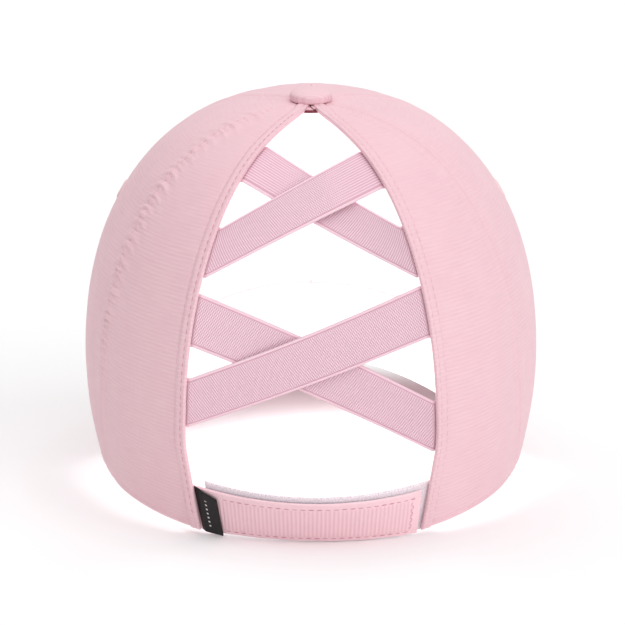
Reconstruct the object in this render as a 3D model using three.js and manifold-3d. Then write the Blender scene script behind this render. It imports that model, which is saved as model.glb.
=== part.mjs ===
// Ponytail baseball cap: six cloth panels with an open back, crossed elastics over the opening,
// a hook-and-loop closure and a curved peak. Millimetres, +Z up, +Y towards the peak, +X to the
// wearer's right. It is drawn in the cap's own frame, where the back of the rim lies at height 0,
// and then tipped onto the points that it rests on: the closure and the two sides of the peak.
import * as THREE from "three";
import { mergeVertices } from "three/addons/utils/BufferGeometryUtils.js";
import Module from "manifold-3d";

const { degToRad, lerp, smoothstep } = THREE.MathUtils;

// Crown
const CROWN_HALF_WIDTH = 86;
const CROWN_BACK_DEPTH = 96;
const CROWN_FRONT_DEPTH = 97;
const CROWN_HEIGHT = 142;
const WAIST_HEIGHT = 48;
const RIM_TAPER = 0.062;
const SIDE_FULLNESS = 0.747;
const BACK_FULLNESS = 0.78;
const FRONT_FULLNESS = 0.66;
const SIDE_RIM_RISE = 4.8;
const CLOTH = 1.2;
const SEAM_GAP = 0.3;
const SEAM_DIP = 0.7;
const SEAM_DIP_ANGLE = degToRad(7);
const PANEL_TOP_RADIUS = 4;

// Azimuths, from the middle of the back towards the right
const OPENING_ANGLE = degToRad(32);
const SIDE_SEAM_TOP_ANGLE = degToRad(57);
const SIDE_SEAM_RIM_ANGLE = degToRad(72);
const FRONT_SEAM_ANGLE = degToRad(120);
const EYELET_ANGLE = degToRad(93);
const PEAK_END_ANGLE = degToRad(117);

// Button and eyelets
const BUTTON_RADIUS = 8;
const BUTTON_HEIGHT = 4.4;
const BUTTON_WALL = 2.2;
const BUTTON_FOOT_RADIUS = 7.36;
const BUTTON_SHOULDER_RADIUS = 7.2;
const BUTTON_SHOULDER_HEIGHT = 2.97;
const EYELET_LEVEL = 0.43;
const EYELET_RADIUS = 4.2;
const EYELET_HOLE_RADIUS = 1.7;
const EYELET_HEIGHT = 0.8;

// Peak
const PEAK_LENGTH = 68;
const PEAK_HALF_WIDTH = 83;
const PEAK_THICKNESS = 3;
const PEAK_ARCH = 30;
const PEAK_DROP_ANGLE = degToRad(8);
const FRONT_RIM_RISE = 10;
const PEAK_CLEARANCE = 0.4;
const PEAK_END_OVERHANG = 1.2;

// Bands and straps
const ELASTIC_WIDTH = 17.5;
const ELASTIC_THICKNESS = 1.2;
const ELASTIC_TUCK = 8;
const ELASTIC_OVER_BOW = 2.4;
const TUCK_CLEARANCE = 0.6;
const SWEATBAND_WIDTH = 30;
const SWEATBAND_THICKNESS = 1.2;
const SWEATBAND_RIM_INSET = 1;
const HOOK_STRAP_WIDTH = 18;
const LOOP_TAPE_WIDTH = 20;
const STRAP_THICKNESS = 1.4;
const STRAP_TUCK = 7;
const STRAP_END_GAP = 1.6;
const STRAP_LEAN = 6;
const STRAP_LEAN_PIVOT = 6.3;
const LABEL_WIDTH = 8.2;
const LABEL_LENGTH = 18.5;
const LABEL_THICKNESS = 1;
const LABEL_SLANT = 0.14;

// Finishes
const FINISHES = {
  panel: { color: "#f0c8d0", roughness: 0.85 },
  button: { color: "#f2c6d0", roughness: 0.85 },
  peak: { color: "#efc7cf", roughness: 0.85 },
  sweatband: { color: "#f5eef0", roughness: 0.9 },
  thread: { color: "#ecbfca", roughness: 0.7 },
  elastic: { color: "#e6bfd0", roughness: 0.7 },
  strap: { color: "#edc1c9", roughness: 0.85 },
  loop: { color: "#f5e8ea", roughness: 0.95 },
  label: { color: "#1d1b1d", roughness: 0.6 },
};

// Faces: columns run round the crown or along a band, rows across it
const BACK_PANEL_COLUMNS = 7;
const PANEL_COLUMNS = 8;
const BAND_ROWS = 5;
const DOME_ROWS = 14;
const ROW_CROWDING = 1.35;
const EYELET_FACES = 16;
const EYELET_BEND_STEPS = 3;
const BUTTON_FACES = 24;
const BUTTON_BEND_STEPS = 4;
const PEAK_COLUMNS = 28;
const PEAK_ROWS = 5;
const SWEATBAND_COLUMNS = 52;
const SWEATBAND_ROWS = 3;
const TUCK_COLUMNS = 2;
const FREE_COLUMNS = 14;
const ELASTIC_ROWS = 2;
const STRAP_COLUMNS = 18;
const STRAP_ROWS = 3;
const LABEL_COLUMNS = 4;
const LABEL_ROWS = 6;

// Levels up the crown: -1 is the rim, 0 the widest level, 1 the top.
// The opening's edge, as shares of OPENING_ANGLE.
const OPENING_EDGE = [
  { level: -1.0, share: 0.935 },
  { level: -0.55, share: 0.97 },
  { level: -0.25, share: 1.0 },
  { level: 0.17, share: 0.975 },
  { level: 0.5, share: 0.914 },
  { level: 0.7, share: 0.835 },
  { level: 0.8, share: 0.74 },
  { level: 0.89, share: 0.585 },
  { level: 0.96, share: 0.34 },
  { level: 1.0, share: 0.12 },
];

// The elastics, by the levels of their middles at the opening's two edges and by how far they
// curve up from a straight line.
const ELASTICS = [
  { name: "elastic_upper_over", left: 0.413, right: 0.683, over: true, rise: 1 },
  { name: "elastic_upper_under", left: 0.706, right: 0.415, over: false, rise: -0.8 },
  { name: "elastic_lower_over", left: 0.017, right: 0.252, over: true, rise: -0.5 },
  { name: "elastic_lower_under", left: 0.23, right: -0.14, over: false, rise: 1.2 },
];

// A smooth curve through a table's rows, read at a level.
function readTable(rows, level) {
  const last = rows.length - 1;
  let i = 0;
  while (i < last - 1 && level > rows[i + 1].level) i += 1;
  const [p0, p1] = [rows[Math.max(i - 1, 0)], rows[i]];
  const [p2, p3] = [rows[i + 1], rows[Math.min(i + 2, last)]];
  const width = p2.level - p1.level;
  const slope = (a, b) => ((b.share - a.share) / (b.level - a.level)) * width;
  const t = (level - p1.level) / width;
  const [start, end] = [slope(p0, p2), slope(p1, p3)];
  const [a, b] = [p1.share, p2.share];
  const bend = 2 * (a - b) + start + end;
  return a + start * t + (3 * (b - a) - 2 * start - end) * t ** 2 + bend * t ** 3;
}

// Seams and edges, as azimuths at a level
const openingEdge = (level) => OPENING_ANGLE * readTable(OPENING_EDGE, level);
const sideSeam = (level) => lerp(SIDE_SEAM_RIM_ANGLE, SIDE_SEAM_TOP_ANGLE, (level + 1) / 2);
const frontSeam = () => FRONT_SEAM_ANGLE;
const middleSeam = () => Math.PI;

// The peak bends round a line along Y that drops towards the front. The rim follows it there.
function peakHeight(x, y) {
  const rimFront = CROWN_FRONT_DEPTH * (1 - RIM_TAPER);
  const drop = (y - rimFront) * Math.tan(PEAK_DROP_ANGLE);
  return FRONT_RIM_RISE - drop - PEAK_ARCH * (x / PEAK_HALF_WIDTH) ** 2;
}

function depthAt(azimuth) {
  return Math.cos(azimuth) > 0 ? -CROWN_BACK_DEPTH : -CROWN_FRONT_DEPTH;
}

function rimHeight(azimuth) {
  const x = CROWN_HALF_WIDTH * (1 - RIM_TAPER) * Math.sin(azimuth);
  const y = depthAt(azimuth) * (1 - RIM_TAPER) * Math.cos(azimuth);
  const side = SIDE_RIM_RISE * Math.sin(azimuth) ** 2;
  const blend = smoothstep(Math.abs(azimuth), Math.PI / 2, PEAK_END_ANGLE);
  return lerp(side, peakHeight(x, y), blend);
}

function fullness(azimuth) {
  const end = Math.cos(azimuth) > 0 ? BACK_FULLNESS : FRONT_FULLNESS;
  return lerp(SIDE_FULLNESS, end, Math.cos(azimuth) ** 2);
}

// How far a seam pulls the cloth in, as a share of its full dip
function seamPull(azimuth, level) {
  const seams = [sideSeam(level), frontSeam(), middleSeam()];
  const away = seams.map((seam) => Math.abs(Math.abs(azimuth) - seam) / SEAM_DIP_ANGLE);
  return Math.max(...away.map((share) => Math.exp(-(share ** 2))));
}

// A point of the crown's outer face
function crownPoint(azimuth, level) {
  const rim = rimHeight(azimuth);
  const rise = (Math.max(level, 0) * Math.PI) / 2;
  const below = Math.min(level, 0);
  const spread = level > 0 ? Math.cos(rise) ** fullness(azimuth) : 1 - RIM_TAPER * below ** 2;
  const dip = (SEAM_DIP / CROWN_HALF_WIDTH) * seamPull(azimuth, level) * Math.min(1, spread);
  const reach = spread - dip;
  return new THREE.Vector3(
    CROWN_HALF_WIDTH * reach * Math.sin(azimuth),
    depthAt(azimuth) * reach * Math.cos(azimuth),
    level > 0
      ? lerp(WAIST_HEIGHT, CROWN_HEIGHT, Math.sin(rise))
      : lerp(WAIST_HEIGHT, rim, -level),
  );
}

// The direction straight out of the crown, from points a small step apart
const NORMAL_STEP = 0.004;
const HIGHEST_PROBE = 0.998;

function crownNormal(azimuth, level) {
  const step = NORMAL_STEP;
  const top = Math.min(level + step, HIGHEST_PROBE);
  const along = crownPoint(azimuth + step, level).sub(crownPoint(azimuth - step, level));
  const up = crownPoint(azimuth, top).sub(crownPoint(azimuth, top - 2 * step));
  return along.cross(up).normalize();
}

// A point at a distance outside the crown's outer face, or inside it where that is negative
function offCrown(azimuth, level, distance) {
  return crownPoint(azimuth, level).addScaledVector(crownNormal(azimuth, level), distance);
}

// The azimuth that spans a length along the crown at a level
const MEASURE_STEP = 0.01;

function angleOf(length, azimuth, level) {
  const next = crownPoint(azimuth + MEASURE_STEP, level);
  return (length * MEASURE_STEP) / next.distanceTo(crownPoint(azimuth, level));
}

// The level of a height below the widest level
function levelOfHeight(height, azimuth) {
  const rim = rimHeight(azimuth);
  return (height - WAIST_HEIGHT) / (WAIST_HEIGHT - rim);
}

// A closed wall: a box whose points are moved to where place(across, up, out) puts them,
// each share from 0 to 1
function wall(columns, rows, place) {
  const box = new THREE.BoxGeometry(1, 1, 1, columns, rows, 1);
  const points = box.attributes.position;
  for (let i = 0; i < points.count; i += 1) {
    const [across, up, out] = [points.getX(i), points.getY(i), points.getZ(i)];
    const point = place(across + 0.5, up + 0.5, out + 0.5);
    points.setXYZ(i, point.x, point.y, point.z);
  }
  box.computeVertexNormals();
  return box;
}

// Panels
const TOP_SHARE = (PANEL_TOP_RADIUS / CROWN_HALF_WIDTH) ** (1 / SIDE_FULLNESS);
const TOP_LEVEL = Math.acos(TOP_SHARE) / (Math.PI / 2);

// The level of a row of a panel, closer together towards the top
function panelLevel(up) {
  const row = up * (BAND_ROWS + DOME_ROWS);
  if (row <= BAND_ROWS) return row / BAND_ROWS - 1;
  const left = 1 - (row - BAND_ROWS) / DOME_ROWS;
  return TOP_LEVEL * (1 - left ** ROW_CROWDING);
}

function panel(from, to, side, columns) {
  return wall(columns, BAND_ROWS + DOME_ROWS, (across, up, out) => {
    const level = panelLevel(up);
    const [near, far] = [from(level), to(level)];
    const start = near + angleOf(SEAM_GAP / 2, near, level);
    const end = far - angleOf(SEAM_GAP / 2, far, level);
    const azimuth = side > 0 ? lerp(start, end, across) : -lerp(end, start, across);
    return offCrown(azimuth, level, CLOTH * (out - 1));
  });
}

// Eyelets
function eyeletPlace(side) {
  const azimuth = side * EYELET_ANGLE;
  const normal = crownNormal(azimuth, EYELET_LEVEL);
  const turn = new THREE.Quaternion().setFromUnitVectors(new THREE.Vector3(0, 1, 0), normal);
  return { point: offCrown(azimuth, EYELET_LEVEL, SEAM_GAP), turn };
}

function eyeletRing() {
  const ring = EYELET_RADIUS - EYELET_HOLE_RADIUS;
  const profile = new THREE.Shape();
  profile.moveTo(EYELET_HOLE_RADIUS, 0);
  profile.lineTo(EYELET_RADIUS, 0);
  profile.quadraticCurveTo(
    EYELET_RADIUS, EYELET_HEIGHT,
    EYELET_HOLE_RADIUS + ring / 2, EYELET_HEIGHT,
  );
  profile.quadraticCurveTo(EYELET_HOLE_RADIUS, EYELET_HEIGHT, EYELET_HOLE_RADIUS, 0);
  return new THREE.LatheGeometry(profile.getPoints(EYELET_BEND_STEPS), EYELET_FACES);
}

const wasm = await Module();
wasm.setup();
const MERGE_DISTANCE = 1e-4;

function toSolid(geometry) {
  const bare = geometry.clone();
  bare.deleteAttribute("normal");
  bare.deleteAttribute("uv");
  const merged = mergeVertices(bare, MERGE_DISTANCE);
  const vertProperties = merged.attributes.position.array;
  const triVerts = new Uint32Array(merged.index.array);
  return new wasm.Manifold(new wasm.Mesh({ numProp: 3, vertProperties, triVerts }));
}

function toGeometry(solid) {
  const mesh = solid.getMesh();
  const geometry = new THREE.BufferGeometry();
  geometry.setAttribute("position", new THREE.BufferAttribute(mesh.vertProperties, 3));
  geometry.setIndex(new THREE.BufferAttribute(mesh.triVerts, 1));
  geometry.computeVertexNormals();
  return geometry;
}

// A side panel has a round hole through it under its eyelet.
function sidePanel(side) {
  const { point, turn } = eyeletPlace(side);
  const depth = 4 * CLOTH + 2 * EYELET_HEIGHT;
  const drill = new THREE.CylinderGeometry(
    EYELET_HOLE_RADIUS, EYELET_HOLE_RADIUS, depth, EYELET_FACES,
  );
  drill.applyQuaternion(turn).translate(point.x, point.y, point.z);
  const cloth = panel(sideSeam, frontSeam, side, PANEL_COLUMNS);
  return toGeometry(toSolid(cloth).subtract(toSolid(drill)));
}

// Button: a covered disc with a short straight wall and a domed top
function button() {
  const profile = new THREE.Path();
  profile.moveTo(0, 0);
  profile.lineTo(BUTTON_FOOT_RADIUS, 0);
  profile.quadraticCurveTo(BUTTON_RADIUS, 0, BUTTON_RADIUS, BUTTON_WALL / 2);
  profile.quadraticCurveTo(
    BUTTON_RADIUS, BUTTON_WALL,
    BUTTON_SHOULDER_RADIUS, BUTTON_SHOULDER_HEIGHT,
  );
  profile.quadraticCurveTo(BUTTON_RADIUS / 2, BUTTON_HEIGHT, 0, BUTTON_HEIGHT);
  const lathe = new THREE.LatheGeometry(profile.getPoints(BUTTON_BEND_STEPS), BUTTON_FACES);
  return lathe.rotateX(Math.PI / 2);
}

// Peak: across runs from one end of the rim seam to the other, forward from the rim to the free
// edge. The free edge is a boxy half oval whose ends are drawn in to the rim.
const PEAK_SIDE_BEND = 0.86;
const PEAK_FRONT_BEND = 0.8;
const PEAK_END_BEND = 10;

function peakEdge(across) {
  const rimFront = CROWN_FRONT_DEPTH * (1 - RIM_TAPER);
  const endX = CROWN_HALF_WIDTH * (1 - RIM_TAPER) * Math.sin(PEAK_END_ANGLE);
  const endY = -rimFront * Math.cos(PEAK_END_ANGLE) + PEAK_THICKNESS;
  const turn = (across - 0.5) * Math.PI;
  const [sine, cosine] = [Math.abs(Math.sin(turn)), Math.abs(Math.cos(turn))];
  const drawnIn = (PEAK_HALF_WIDTH - endX - PEAK_END_OVERHANG) * sine ** PEAK_END_BEND;
  const x = (PEAK_HALF_WIDTH - drawnIn) * Math.sign(turn) * sine ** PEAK_SIDE_BEND;
  return { x, y: endY + (rimFront + PEAK_LENGTH - endY) * cosine ** PEAK_FRONT_BEND };
}

function peak() {
  return wall(PEAK_COLUMNS, PEAK_ROWS, (across, forward, above) => {
    const turn = Math.PI + (0.5 - across) * 2 * (Math.PI - PEAK_END_ANGLE);
    const azimuth = turn > Math.PI ? turn - 2 * Math.PI : turn;
    const rise = rimHeight(azimuth) + PEAK_THICKNESS * above;
    const rim = offCrown(azimuth, levelOfHeight(rise, azimuth), PEAK_CLEARANCE);
    const edge = peakEdge(across);
    const x = lerp(rim.x, edge.x, forward);
    const y = lerp(rim.y, edge.y, forward);
    const rimError = rimHeight(azimuth) - peakHeight(rim.x, rim.y);
    const base = peakHeight(x, y) + rimError * (1 - forward);
    return new THREE.Vector3(x, y, base + PEAK_THICKNESS * above);
  });
}

// Sweatband, inside the rim from one side of the opening round to the other
function sweatband() {
  const startAngle = OPENING_ANGLE + (STRAP_TUCK + 2 * STRAP_END_GAP) / CROWN_HALF_WIDTH;
  return wall(SWEATBAND_COLUMNS, SWEATBAND_ROWS, (across, up, out) => {
    const turn = lerp(startAngle, 2 * Math.PI - startAngle, across);
    const azimuth = turn > Math.PI ? turn - 2 * Math.PI : turn;
    const height = rimHeight(azimuth) + SWEATBAND_RIM_INSET + SWEATBAND_WIDTH * up;
    const inset = CLOTH + TUCK_CLEARANCE + SWEATBAND_THICKNESS * (1 - out);
    return offCrown(azimuth, levelOfHeight(height, azimuth), -inset);
  });
}

// Elastics: flat between the opening's edges, with both ends tucked inside the panels
function edgePoint(side, level, distance) {
  const azimuth = openingEdge(level) + angleOf(distance, openingEdge(level), level);
  const inset = CLOTH + TUCK_CLEARANCE + ELASTIC_THICKNESS / 2;
  return offCrown(side * azimuth, level, -inset);
}

// The level at a length up the opening's edge from another level, or down it where negative
const LENGTH_STEPS = 12;

function levelUpEdge(level, length) {
  let reached = level;
  for (let i = 0; i < LENGTH_STEPS; i += 1) {
    const above = edgePoint(1, reached + MEASURE_STEP, 0);
    const run = above.distanceTo(edgePoint(1, reached - MEASURE_STEP, 0));
    reached += ((length / LENGTH_STEPS) * 2 * MEASURE_STEP) / run;
  }
  return reached;
}

const ELASTIC_COLUMNS = FREE_COLUMNS + 2 * TUCK_COLUMNS;

function elastic({ left, right, over, rise }) {
  const chord = edgePoint(1, right, 0).sub(edgePoint(-1, left, 0));
  const slant = Math.cos(Math.atan(chord.z / chord.x));
  const half = ELASTIC_WIDTH / 2 / slant;
  const middle = (column, up) => {
    const above = half * (2 * up - 1);
    const fromLeft = TUCK_COLUMNS - column;
    const fromRight = column - TUCK_COLUMNS - FREE_COLUMNS;
    const tucked = (ELASTIC_TUCK / TUCK_COLUMNS) * Math.max(fromLeft, fromRight, 0);
    const leftPoint = edgePoint(-1, levelUpEdge(left, above), tucked);
    if (fromLeft > 0) return leftPoint;
    const rightPoint = edgePoint(1, levelUpEdge(right, above), tucked);
    if (fromRight > 0) return rightPoint;
    const share = -fromLeft / FREE_COLUMNS;
    const point = leftPoint.lerp(rightPoint, share);
    const bow = Math.sin(Math.PI * share);
    point.z += rise * bow;
    if (over) point.y -= ELASTIC_OVER_BOW * bow;
    return point;
  };
  return wall(ELASTIC_COLUMNS, ELASTIC_ROWS, (across, up, out) => {
    const column = across * ELASTIC_COLUMNS;
    const before = middle(Math.max(column - 0.5, 0), 0.5);
    const after = middle(Math.min(column + 0.5, ELASTIC_COLUMNS), 0.5);
    const upwards = middle(column, 1).sub(middle(column, 0));
    const normal = after.sub(before).cross(upwards).normalize();
    return middle(column, up).addScaledVector(normal, ELASTIC_THICKNESS * (out - 0.5));
  });
}

// Closure: the hook strap is sewn inside the left panel and lies over the loop tape, which is
// sewn inside the right one. Between the panels both lean out at the top.
const RIM_LEVEL = -1;
const EDGE_ANGLE = openingEdge(RIM_LEVEL);
const TUCK_INSET = CLOTH + TUCK_CLEARANCE;

function closurePoint(azimuth, height, depth) {
  const level = levelOfHeight(height, azimuth);
  const right = smoothstep(azimuth, -EDGE_ANGLE, EDGE_ANGLE);
  const point = offCrown(azimuth, level, -TUCK_INSET * (1 - right) - depth);
  const free = Math.max(0, Math.cos((Math.PI / 2) * (azimuth / EDGE_ANGLE)));
  point.y -= (STRAP_LEAN * free * (height - STRAP_LEAN_PIVOT)) / HOOK_STRAP_WIDTH;
  return point;
}

function strap(fromAngle, toAngle, width, depth) {
  return wall(STRAP_COLUMNS, STRAP_ROWS, (across, up, out) => {
    const azimuth = lerp(fromAngle, toAngle, across);
    return closurePoint(azimuth, width * up, depth + STRAP_THICKNESS * (1 - out));
  });
}

const STRAP_TUCK_ANGLE = angleOf(STRAP_TUCK, EDGE_ANGLE, RIM_LEVEL);
const STRAP_END_ANGLE = angleOf(STRAP_END_GAP, EDGE_ANGLE, RIM_LEVEL);
const LOOP_DEPTH = STRAP_THICKNESS + SEAM_GAP;

function hookStrap() {
  const from = -EDGE_ANGLE - STRAP_TUCK_ANGLE;
  return strap(from, EDGE_ANGLE - STRAP_END_ANGLE, HOOK_STRAP_WIDTH, 0);
}

function loopTape() {
  const to = EDGE_ANGLE + STRAP_TUCK_ANGLE;
  return strap(-EDGE_ANGLE + STRAP_END_ANGLE, to, LOOP_TAPE_WIDTH, LOOP_DEPTH);
}

// Label: a folded tab that lies on the hook strap beside the left panel's edge
function sideLabel() {
  const startAngle = -EDGE_ANGLE + STRAP_END_ANGLE / 2;
  return wall(LABEL_COLUMNS, LABEL_ROWS, (across, up, out) => {
    const height = SEAM_GAP + LABEL_LENGTH * up - LABEL_SLANT * LABEL_LENGTH * across * up;
    const along = LABEL_WIDTH * (across + LABEL_SLANT * (1 - up));
    const azimuth = startAngle + angleOf(along, startAngle, RIM_LEVEL);
    return closurePoint(azimuth, height, -SEAM_GAP - LABEL_THICKNESS * out);
  });
}

// Scene graph
const cap = new THREE.Group();

function add(name, geometry, finish) {
  const mesh = new THREE.Mesh(geometry, new THREE.MeshStandardMaterial(finish));
  mesh.name = name;
  cap.add(mesh);
  return mesh;
}

for (const [word, side] of [["left", -1], ["right", 1]]) {
  const back = panel(openingEdge, sideSeam, side, BACK_PANEL_COLUMNS);
  const front = panel(frontSeam, middleSeam, side, PANEL_COLUMNS);
  add(`back_panel_${word}`, back, FINISHES.panel);
  add(`side_panel_${word}`, sidePanel(side), FINISHES.panel);
  add(`front_panel_${word}`, front, FINISHES.panel);
  const ring = add(`eyelet_${word}`, eyeletRing(), FINISHES.thread);
  const { point, turn } = eyeletPlace(side);
  ring.position.copy(point);
  ring.quaternion.copy(turn);
}
add("button", button(), FINISHES.button).position.z = CROWN_HEIGHT + SEAM_GAP;
const peakMesh = add("peak", peak(), FINISHES.peak);
add("sweatband", sweatband(), FINISHES.sweatband);
for (const band of ELASTICS) add(band.name, elastic(band), FINISHES.elastic);
const hookMesh = add("closure_strap_hook", hookStrap(), FINISHES.strap);
add("closure_strap_loop", loopTape(), FINISHES.loop);
add("side_label", sideLabel(), FINISHES.label);

// The tip that brings the strap's lowest point and the peak's lowest points onto one level
const REST_ROUNDS = 3;

function restAngle() {
  const back = hookMesh.geometry.attributes.position;
  const front = peakMesh.geometry.attributes.position;
  let angle = 0;
  for (let round = 0; round < REST_ROUNDS; round += 1) {
    let heel = new THREE.Vector3(0, 0, Infinity);
    for (let i = 0; i < back.count; i += 1) {
      const point = new THREE.Vector3().fromBufferAttribute(back, i);
      const level = point.z * Math.cos(angle) + point.y * Math.sin(angle);
      if (level < heel.z * Math.cos(angle) + heel.y * Math.sin(angle)) heel = point;
    }
    let steepest = -Infinity;
    for (let i = 0; i < front.count; i += 1) {
      const [run, fall] = [front.getY(i) - heel.y, heel.z - front.getZ(i)];
      steepest = Math.max(steepest, Math.atan2(fall, run));
    }
    angle = steepest;
  }
  return angle;
}

cap.rotation.x = restAngle();

// The origin is under the middle of the whole cap, on the surface that it rests on.
const root = new THREE.Group();
root.add(cap);
root.updateMatrixWorld(true);
const size = new THREE.Box3().setFromObject(root, true);
const centre = size.getCenter(new THREE.Vector3());
cap.position.set(-centre.x, -centre.y, -size.min.z);

export default root;
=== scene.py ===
# %% [markdown]
# # A ponytail cap in Blender
# The cap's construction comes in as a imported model. This script keeps every piece where that
# model has it and makes each one again at full detail: ribbed cloth panels with hems and puckered
# seams, woven elastics, a closure, a stitched peak. Everything is in metres, +Z up, +Y towards the
# peak. The cap rests on its closure and on the two sides of its peak.

# %% Load the frame
import math

import bmesh
import bpy
import numpy as np
from mathutils import Matrix, Vector


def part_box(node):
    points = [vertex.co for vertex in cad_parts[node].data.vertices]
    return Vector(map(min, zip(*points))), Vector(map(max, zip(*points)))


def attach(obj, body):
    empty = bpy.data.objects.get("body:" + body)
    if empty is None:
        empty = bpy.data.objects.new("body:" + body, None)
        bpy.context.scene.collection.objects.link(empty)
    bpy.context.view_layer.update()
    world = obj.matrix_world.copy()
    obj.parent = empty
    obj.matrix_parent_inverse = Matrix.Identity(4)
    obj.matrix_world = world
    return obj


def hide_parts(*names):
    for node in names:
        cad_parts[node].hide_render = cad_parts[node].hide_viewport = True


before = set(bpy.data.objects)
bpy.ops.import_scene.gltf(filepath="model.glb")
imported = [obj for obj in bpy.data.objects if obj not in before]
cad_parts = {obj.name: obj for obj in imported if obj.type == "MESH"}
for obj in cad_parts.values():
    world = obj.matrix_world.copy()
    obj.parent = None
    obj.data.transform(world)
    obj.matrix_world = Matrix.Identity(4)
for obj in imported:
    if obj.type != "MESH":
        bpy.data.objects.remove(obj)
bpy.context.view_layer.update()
MM = 0.001

# %% [markdown]
# ## Where the cap stands
# It is easiest to describe a cap in its own frame: the back of the rim at height 0 and the button
# straight above. Standing on a table, the cap leans back a little, because the curved peak reaches
# lower than the rim. These values turn the cap's own frame into the table's.

# %% The cap's lean and place on the table
CAP_LEAN = math.radians(4.4706)
CAP_PLACE = np.array([0.0, -30.322 * MM, 6.627 * MM])


def on_table(points):
    """Points of the cap's own frame, turned and moved to where the cap stands."""
    x, y, z = np.moveaxis(np.asarray(points), -1, 0)
    cos, sin = math.cos(CAP_LEAN), math.sin(CAP_LEAN)
    return np.stack([x, y * cos - z * sin, y * sin + z * cos], axis=-1) + CAP_PLACE


# %% [markdown]
# ## The camera, the light and the floor
# The photograph was taken from behind and a little above, with a long lens: the far side of the
# rim is hidden and the crown looks almost flat. A camera 1.2 m away with a 181 mm lens gives the
# same outline. The light is soft and comes from the right and above, so the left side is shaded.
# Distant lights reach the whole floor evenly, and that keeps the background white. Two lamps inside
# the cap light its hollow and the floor at its front, so what the opening shows is nearly white too.


# %% New objects
def add_object(name, data):
    """An object of the scene, untransformed."""
    made = bpy.data.objects.new(name, data)
    bpy.context.collection.objects.link(made)
    return made


# %% Camera
VIEW_RISE = math.radians(18.05) - CAP_LEAN
VIEW_DISTANCE = 1.2
VIEW_LENS = 181.2
VIEW_AIM = Vector(on_table([0.57 * MM, 0.0, 58.8 * MM]))
camera_data = bpy.data.cameras.new("camera")
camera_data.lens = VIEW_LENS
camera = add_object("camera", camera_data)
towards_camera = Vector((0.0, -math.cos(VIEW_RISE), math.sin(VIEW_RISE)))
camera.location = VIEW_AIM + VIEW_DISTANCE * towards_camera
camera.rotation_euler = towards_camera.to_track_quat("Z", "Y").to_euler()
bpy.context.scene.camera = camera

# %% Light
WORLD_BRIGHTNESS = 0.28
world = bpy.data.worlds.new("studio")
world.use_nodes = True
background = world.node_tree.nodes["Background"]
background.inputs["Color"].default_value = (1.0, 1.0, 1.0, 1.0)
background.inputs["Strength"].default_value = WORLD_BRIGHTNESS
bpy.context.scene.world = world
bpy.context.scene.view_settings.view_transform = "Standard"


def add_lamp(name, kind, brightness):
    """A lamp at the origin."""
    data = bpy.data.lights.new(name, kind)
    data.energy = brightness
    return add_object(name, data)


def soft_sun(name, towards, share, spread):
    """A distant soft light from a direction. A share of 1 alone shows white paper as white."""
    lamp = add_lamp(name, "SUN", share * math.pi)
    lamp.data.angle = math.radians(spread)
    lamp.rotation_euler = Vector(towards).to_track_quat("Z", "Y").to_euler()


def hollow_lamp(name, place, brightness, radius):
    """A round lamp inside the cap, which the camera doesn't see."""
    lamp = add_lamp(name, "POINT", brightness)
    lamp.data.shadow_soft_size = radius
    lamp.location = place
    lamp.visible_camera = False


soft_sun("key_right", towards=(0.80, -0.50, 0.50), share=0.22, spread=50)
soft_sun("top", towards=(-0.20, 0.10, 1.0), share=0.43, spread=90)
soft_sun("camera_fill", towards=(0.35, -1.0, 0.80), share=0.30, spread=60)
soft_sun("front_fill", towards=(0.10, 1.0, 0.60), share=0.20, spread=70)
hollow_lamp("inner", place=(0.0, -0.035, 0.075), brightness=0.1, radius=0.03)
hollow_lamp("inner_low", place=(0.02, 0.03, 0.02), brightness=0.03, radius=0.01)

# %% Floor
FLOOR_SIZE = 12.0
FLOOR_DROP = 0.2 * MM
FLOOR_SHADE = 0.95
floor_mesh = bmesh.new()
bmesh.ops.create_grid(floor_mesh, x_segments=1, y_segments=1, size=FLOOR_SIZE / 2)
floor_data = bpy.data.meshes.new("floor")
floor_mesh.to_mesh(floor_data)
floor_mesh.free()
floor = add_object("floor", floor_data)
floor.location.z = -FLOOR_DROP
floor_paint = bpy.data.materials.new("floor_paint")
floor_paint.use_nodes = True
floor_shader = floor_paint.node_tree.nodes["Principled BSDF"]
floor_shader.inputs["Base Color"].default_value = (FLOOR_SHADE, FLOOR_SHADE, FLOOR_SHADE, 1.0)
floor_shader.inputs["Roughness"].default_value = 0.9
floor_data.materials.append(floor_paint)

# %% [markdown]
# ## The crown as a formula
# All the cloth lies on one rounded surface, so it is worth writing that surface once. A point on it
# has an azimuth, measured from the middle of the back towards the right, and a level: -1 at the
# rim, 0 where the crown is widest, 1 at the top. The sizes are the model's own, in metres.

# %% Sizes of the crown
HALF_WIDTH = 86 * MM
BACK_DEPTH = 96 * MM
FRONT_DEPTH = 97 * MM
HEIGHT = 142 * MM
WAIST = 48 * MM
RIM_TAPER = 0.062
SIDE_FULLNESS, BACK_FULLNESS, FRONT_FULLNESS = 0.747, 0.78, 0.66
SIDE_RIM_RISE = 4.8 * MM
FRONT_RIM_RISE = 10 * MM
CLOTH = 1.2 * MM
SEAM_DIP = 0.7 * MM
SEAM_DIP_ANGLE = math.radians(7)
TOP_RADIUS = 4 * MM
OPENING_ANGLE = math.radians(32)
SIDE_SEAM_TOP, SIDE_SEAM_RIM = math.radians(57), math.radians(72)
FRONT_SEAM = math.radians(120)
PEAK_END = math.radians(117)
PEAK_HALF_WIDTH = 83 * MM
PEAK_LENGTH = 68 * MM
PEAK_THICKNESS = 3 * MM
PEAK_ARCH = 30 * MM
PEAK_DROP = math.radians(8)
TOP_LEVEL = math.acos((TOP_RADIUS / HALF_WIDTH) ** (1 / SIDE_FULLNESS)) / (math.pi / 2)

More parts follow.
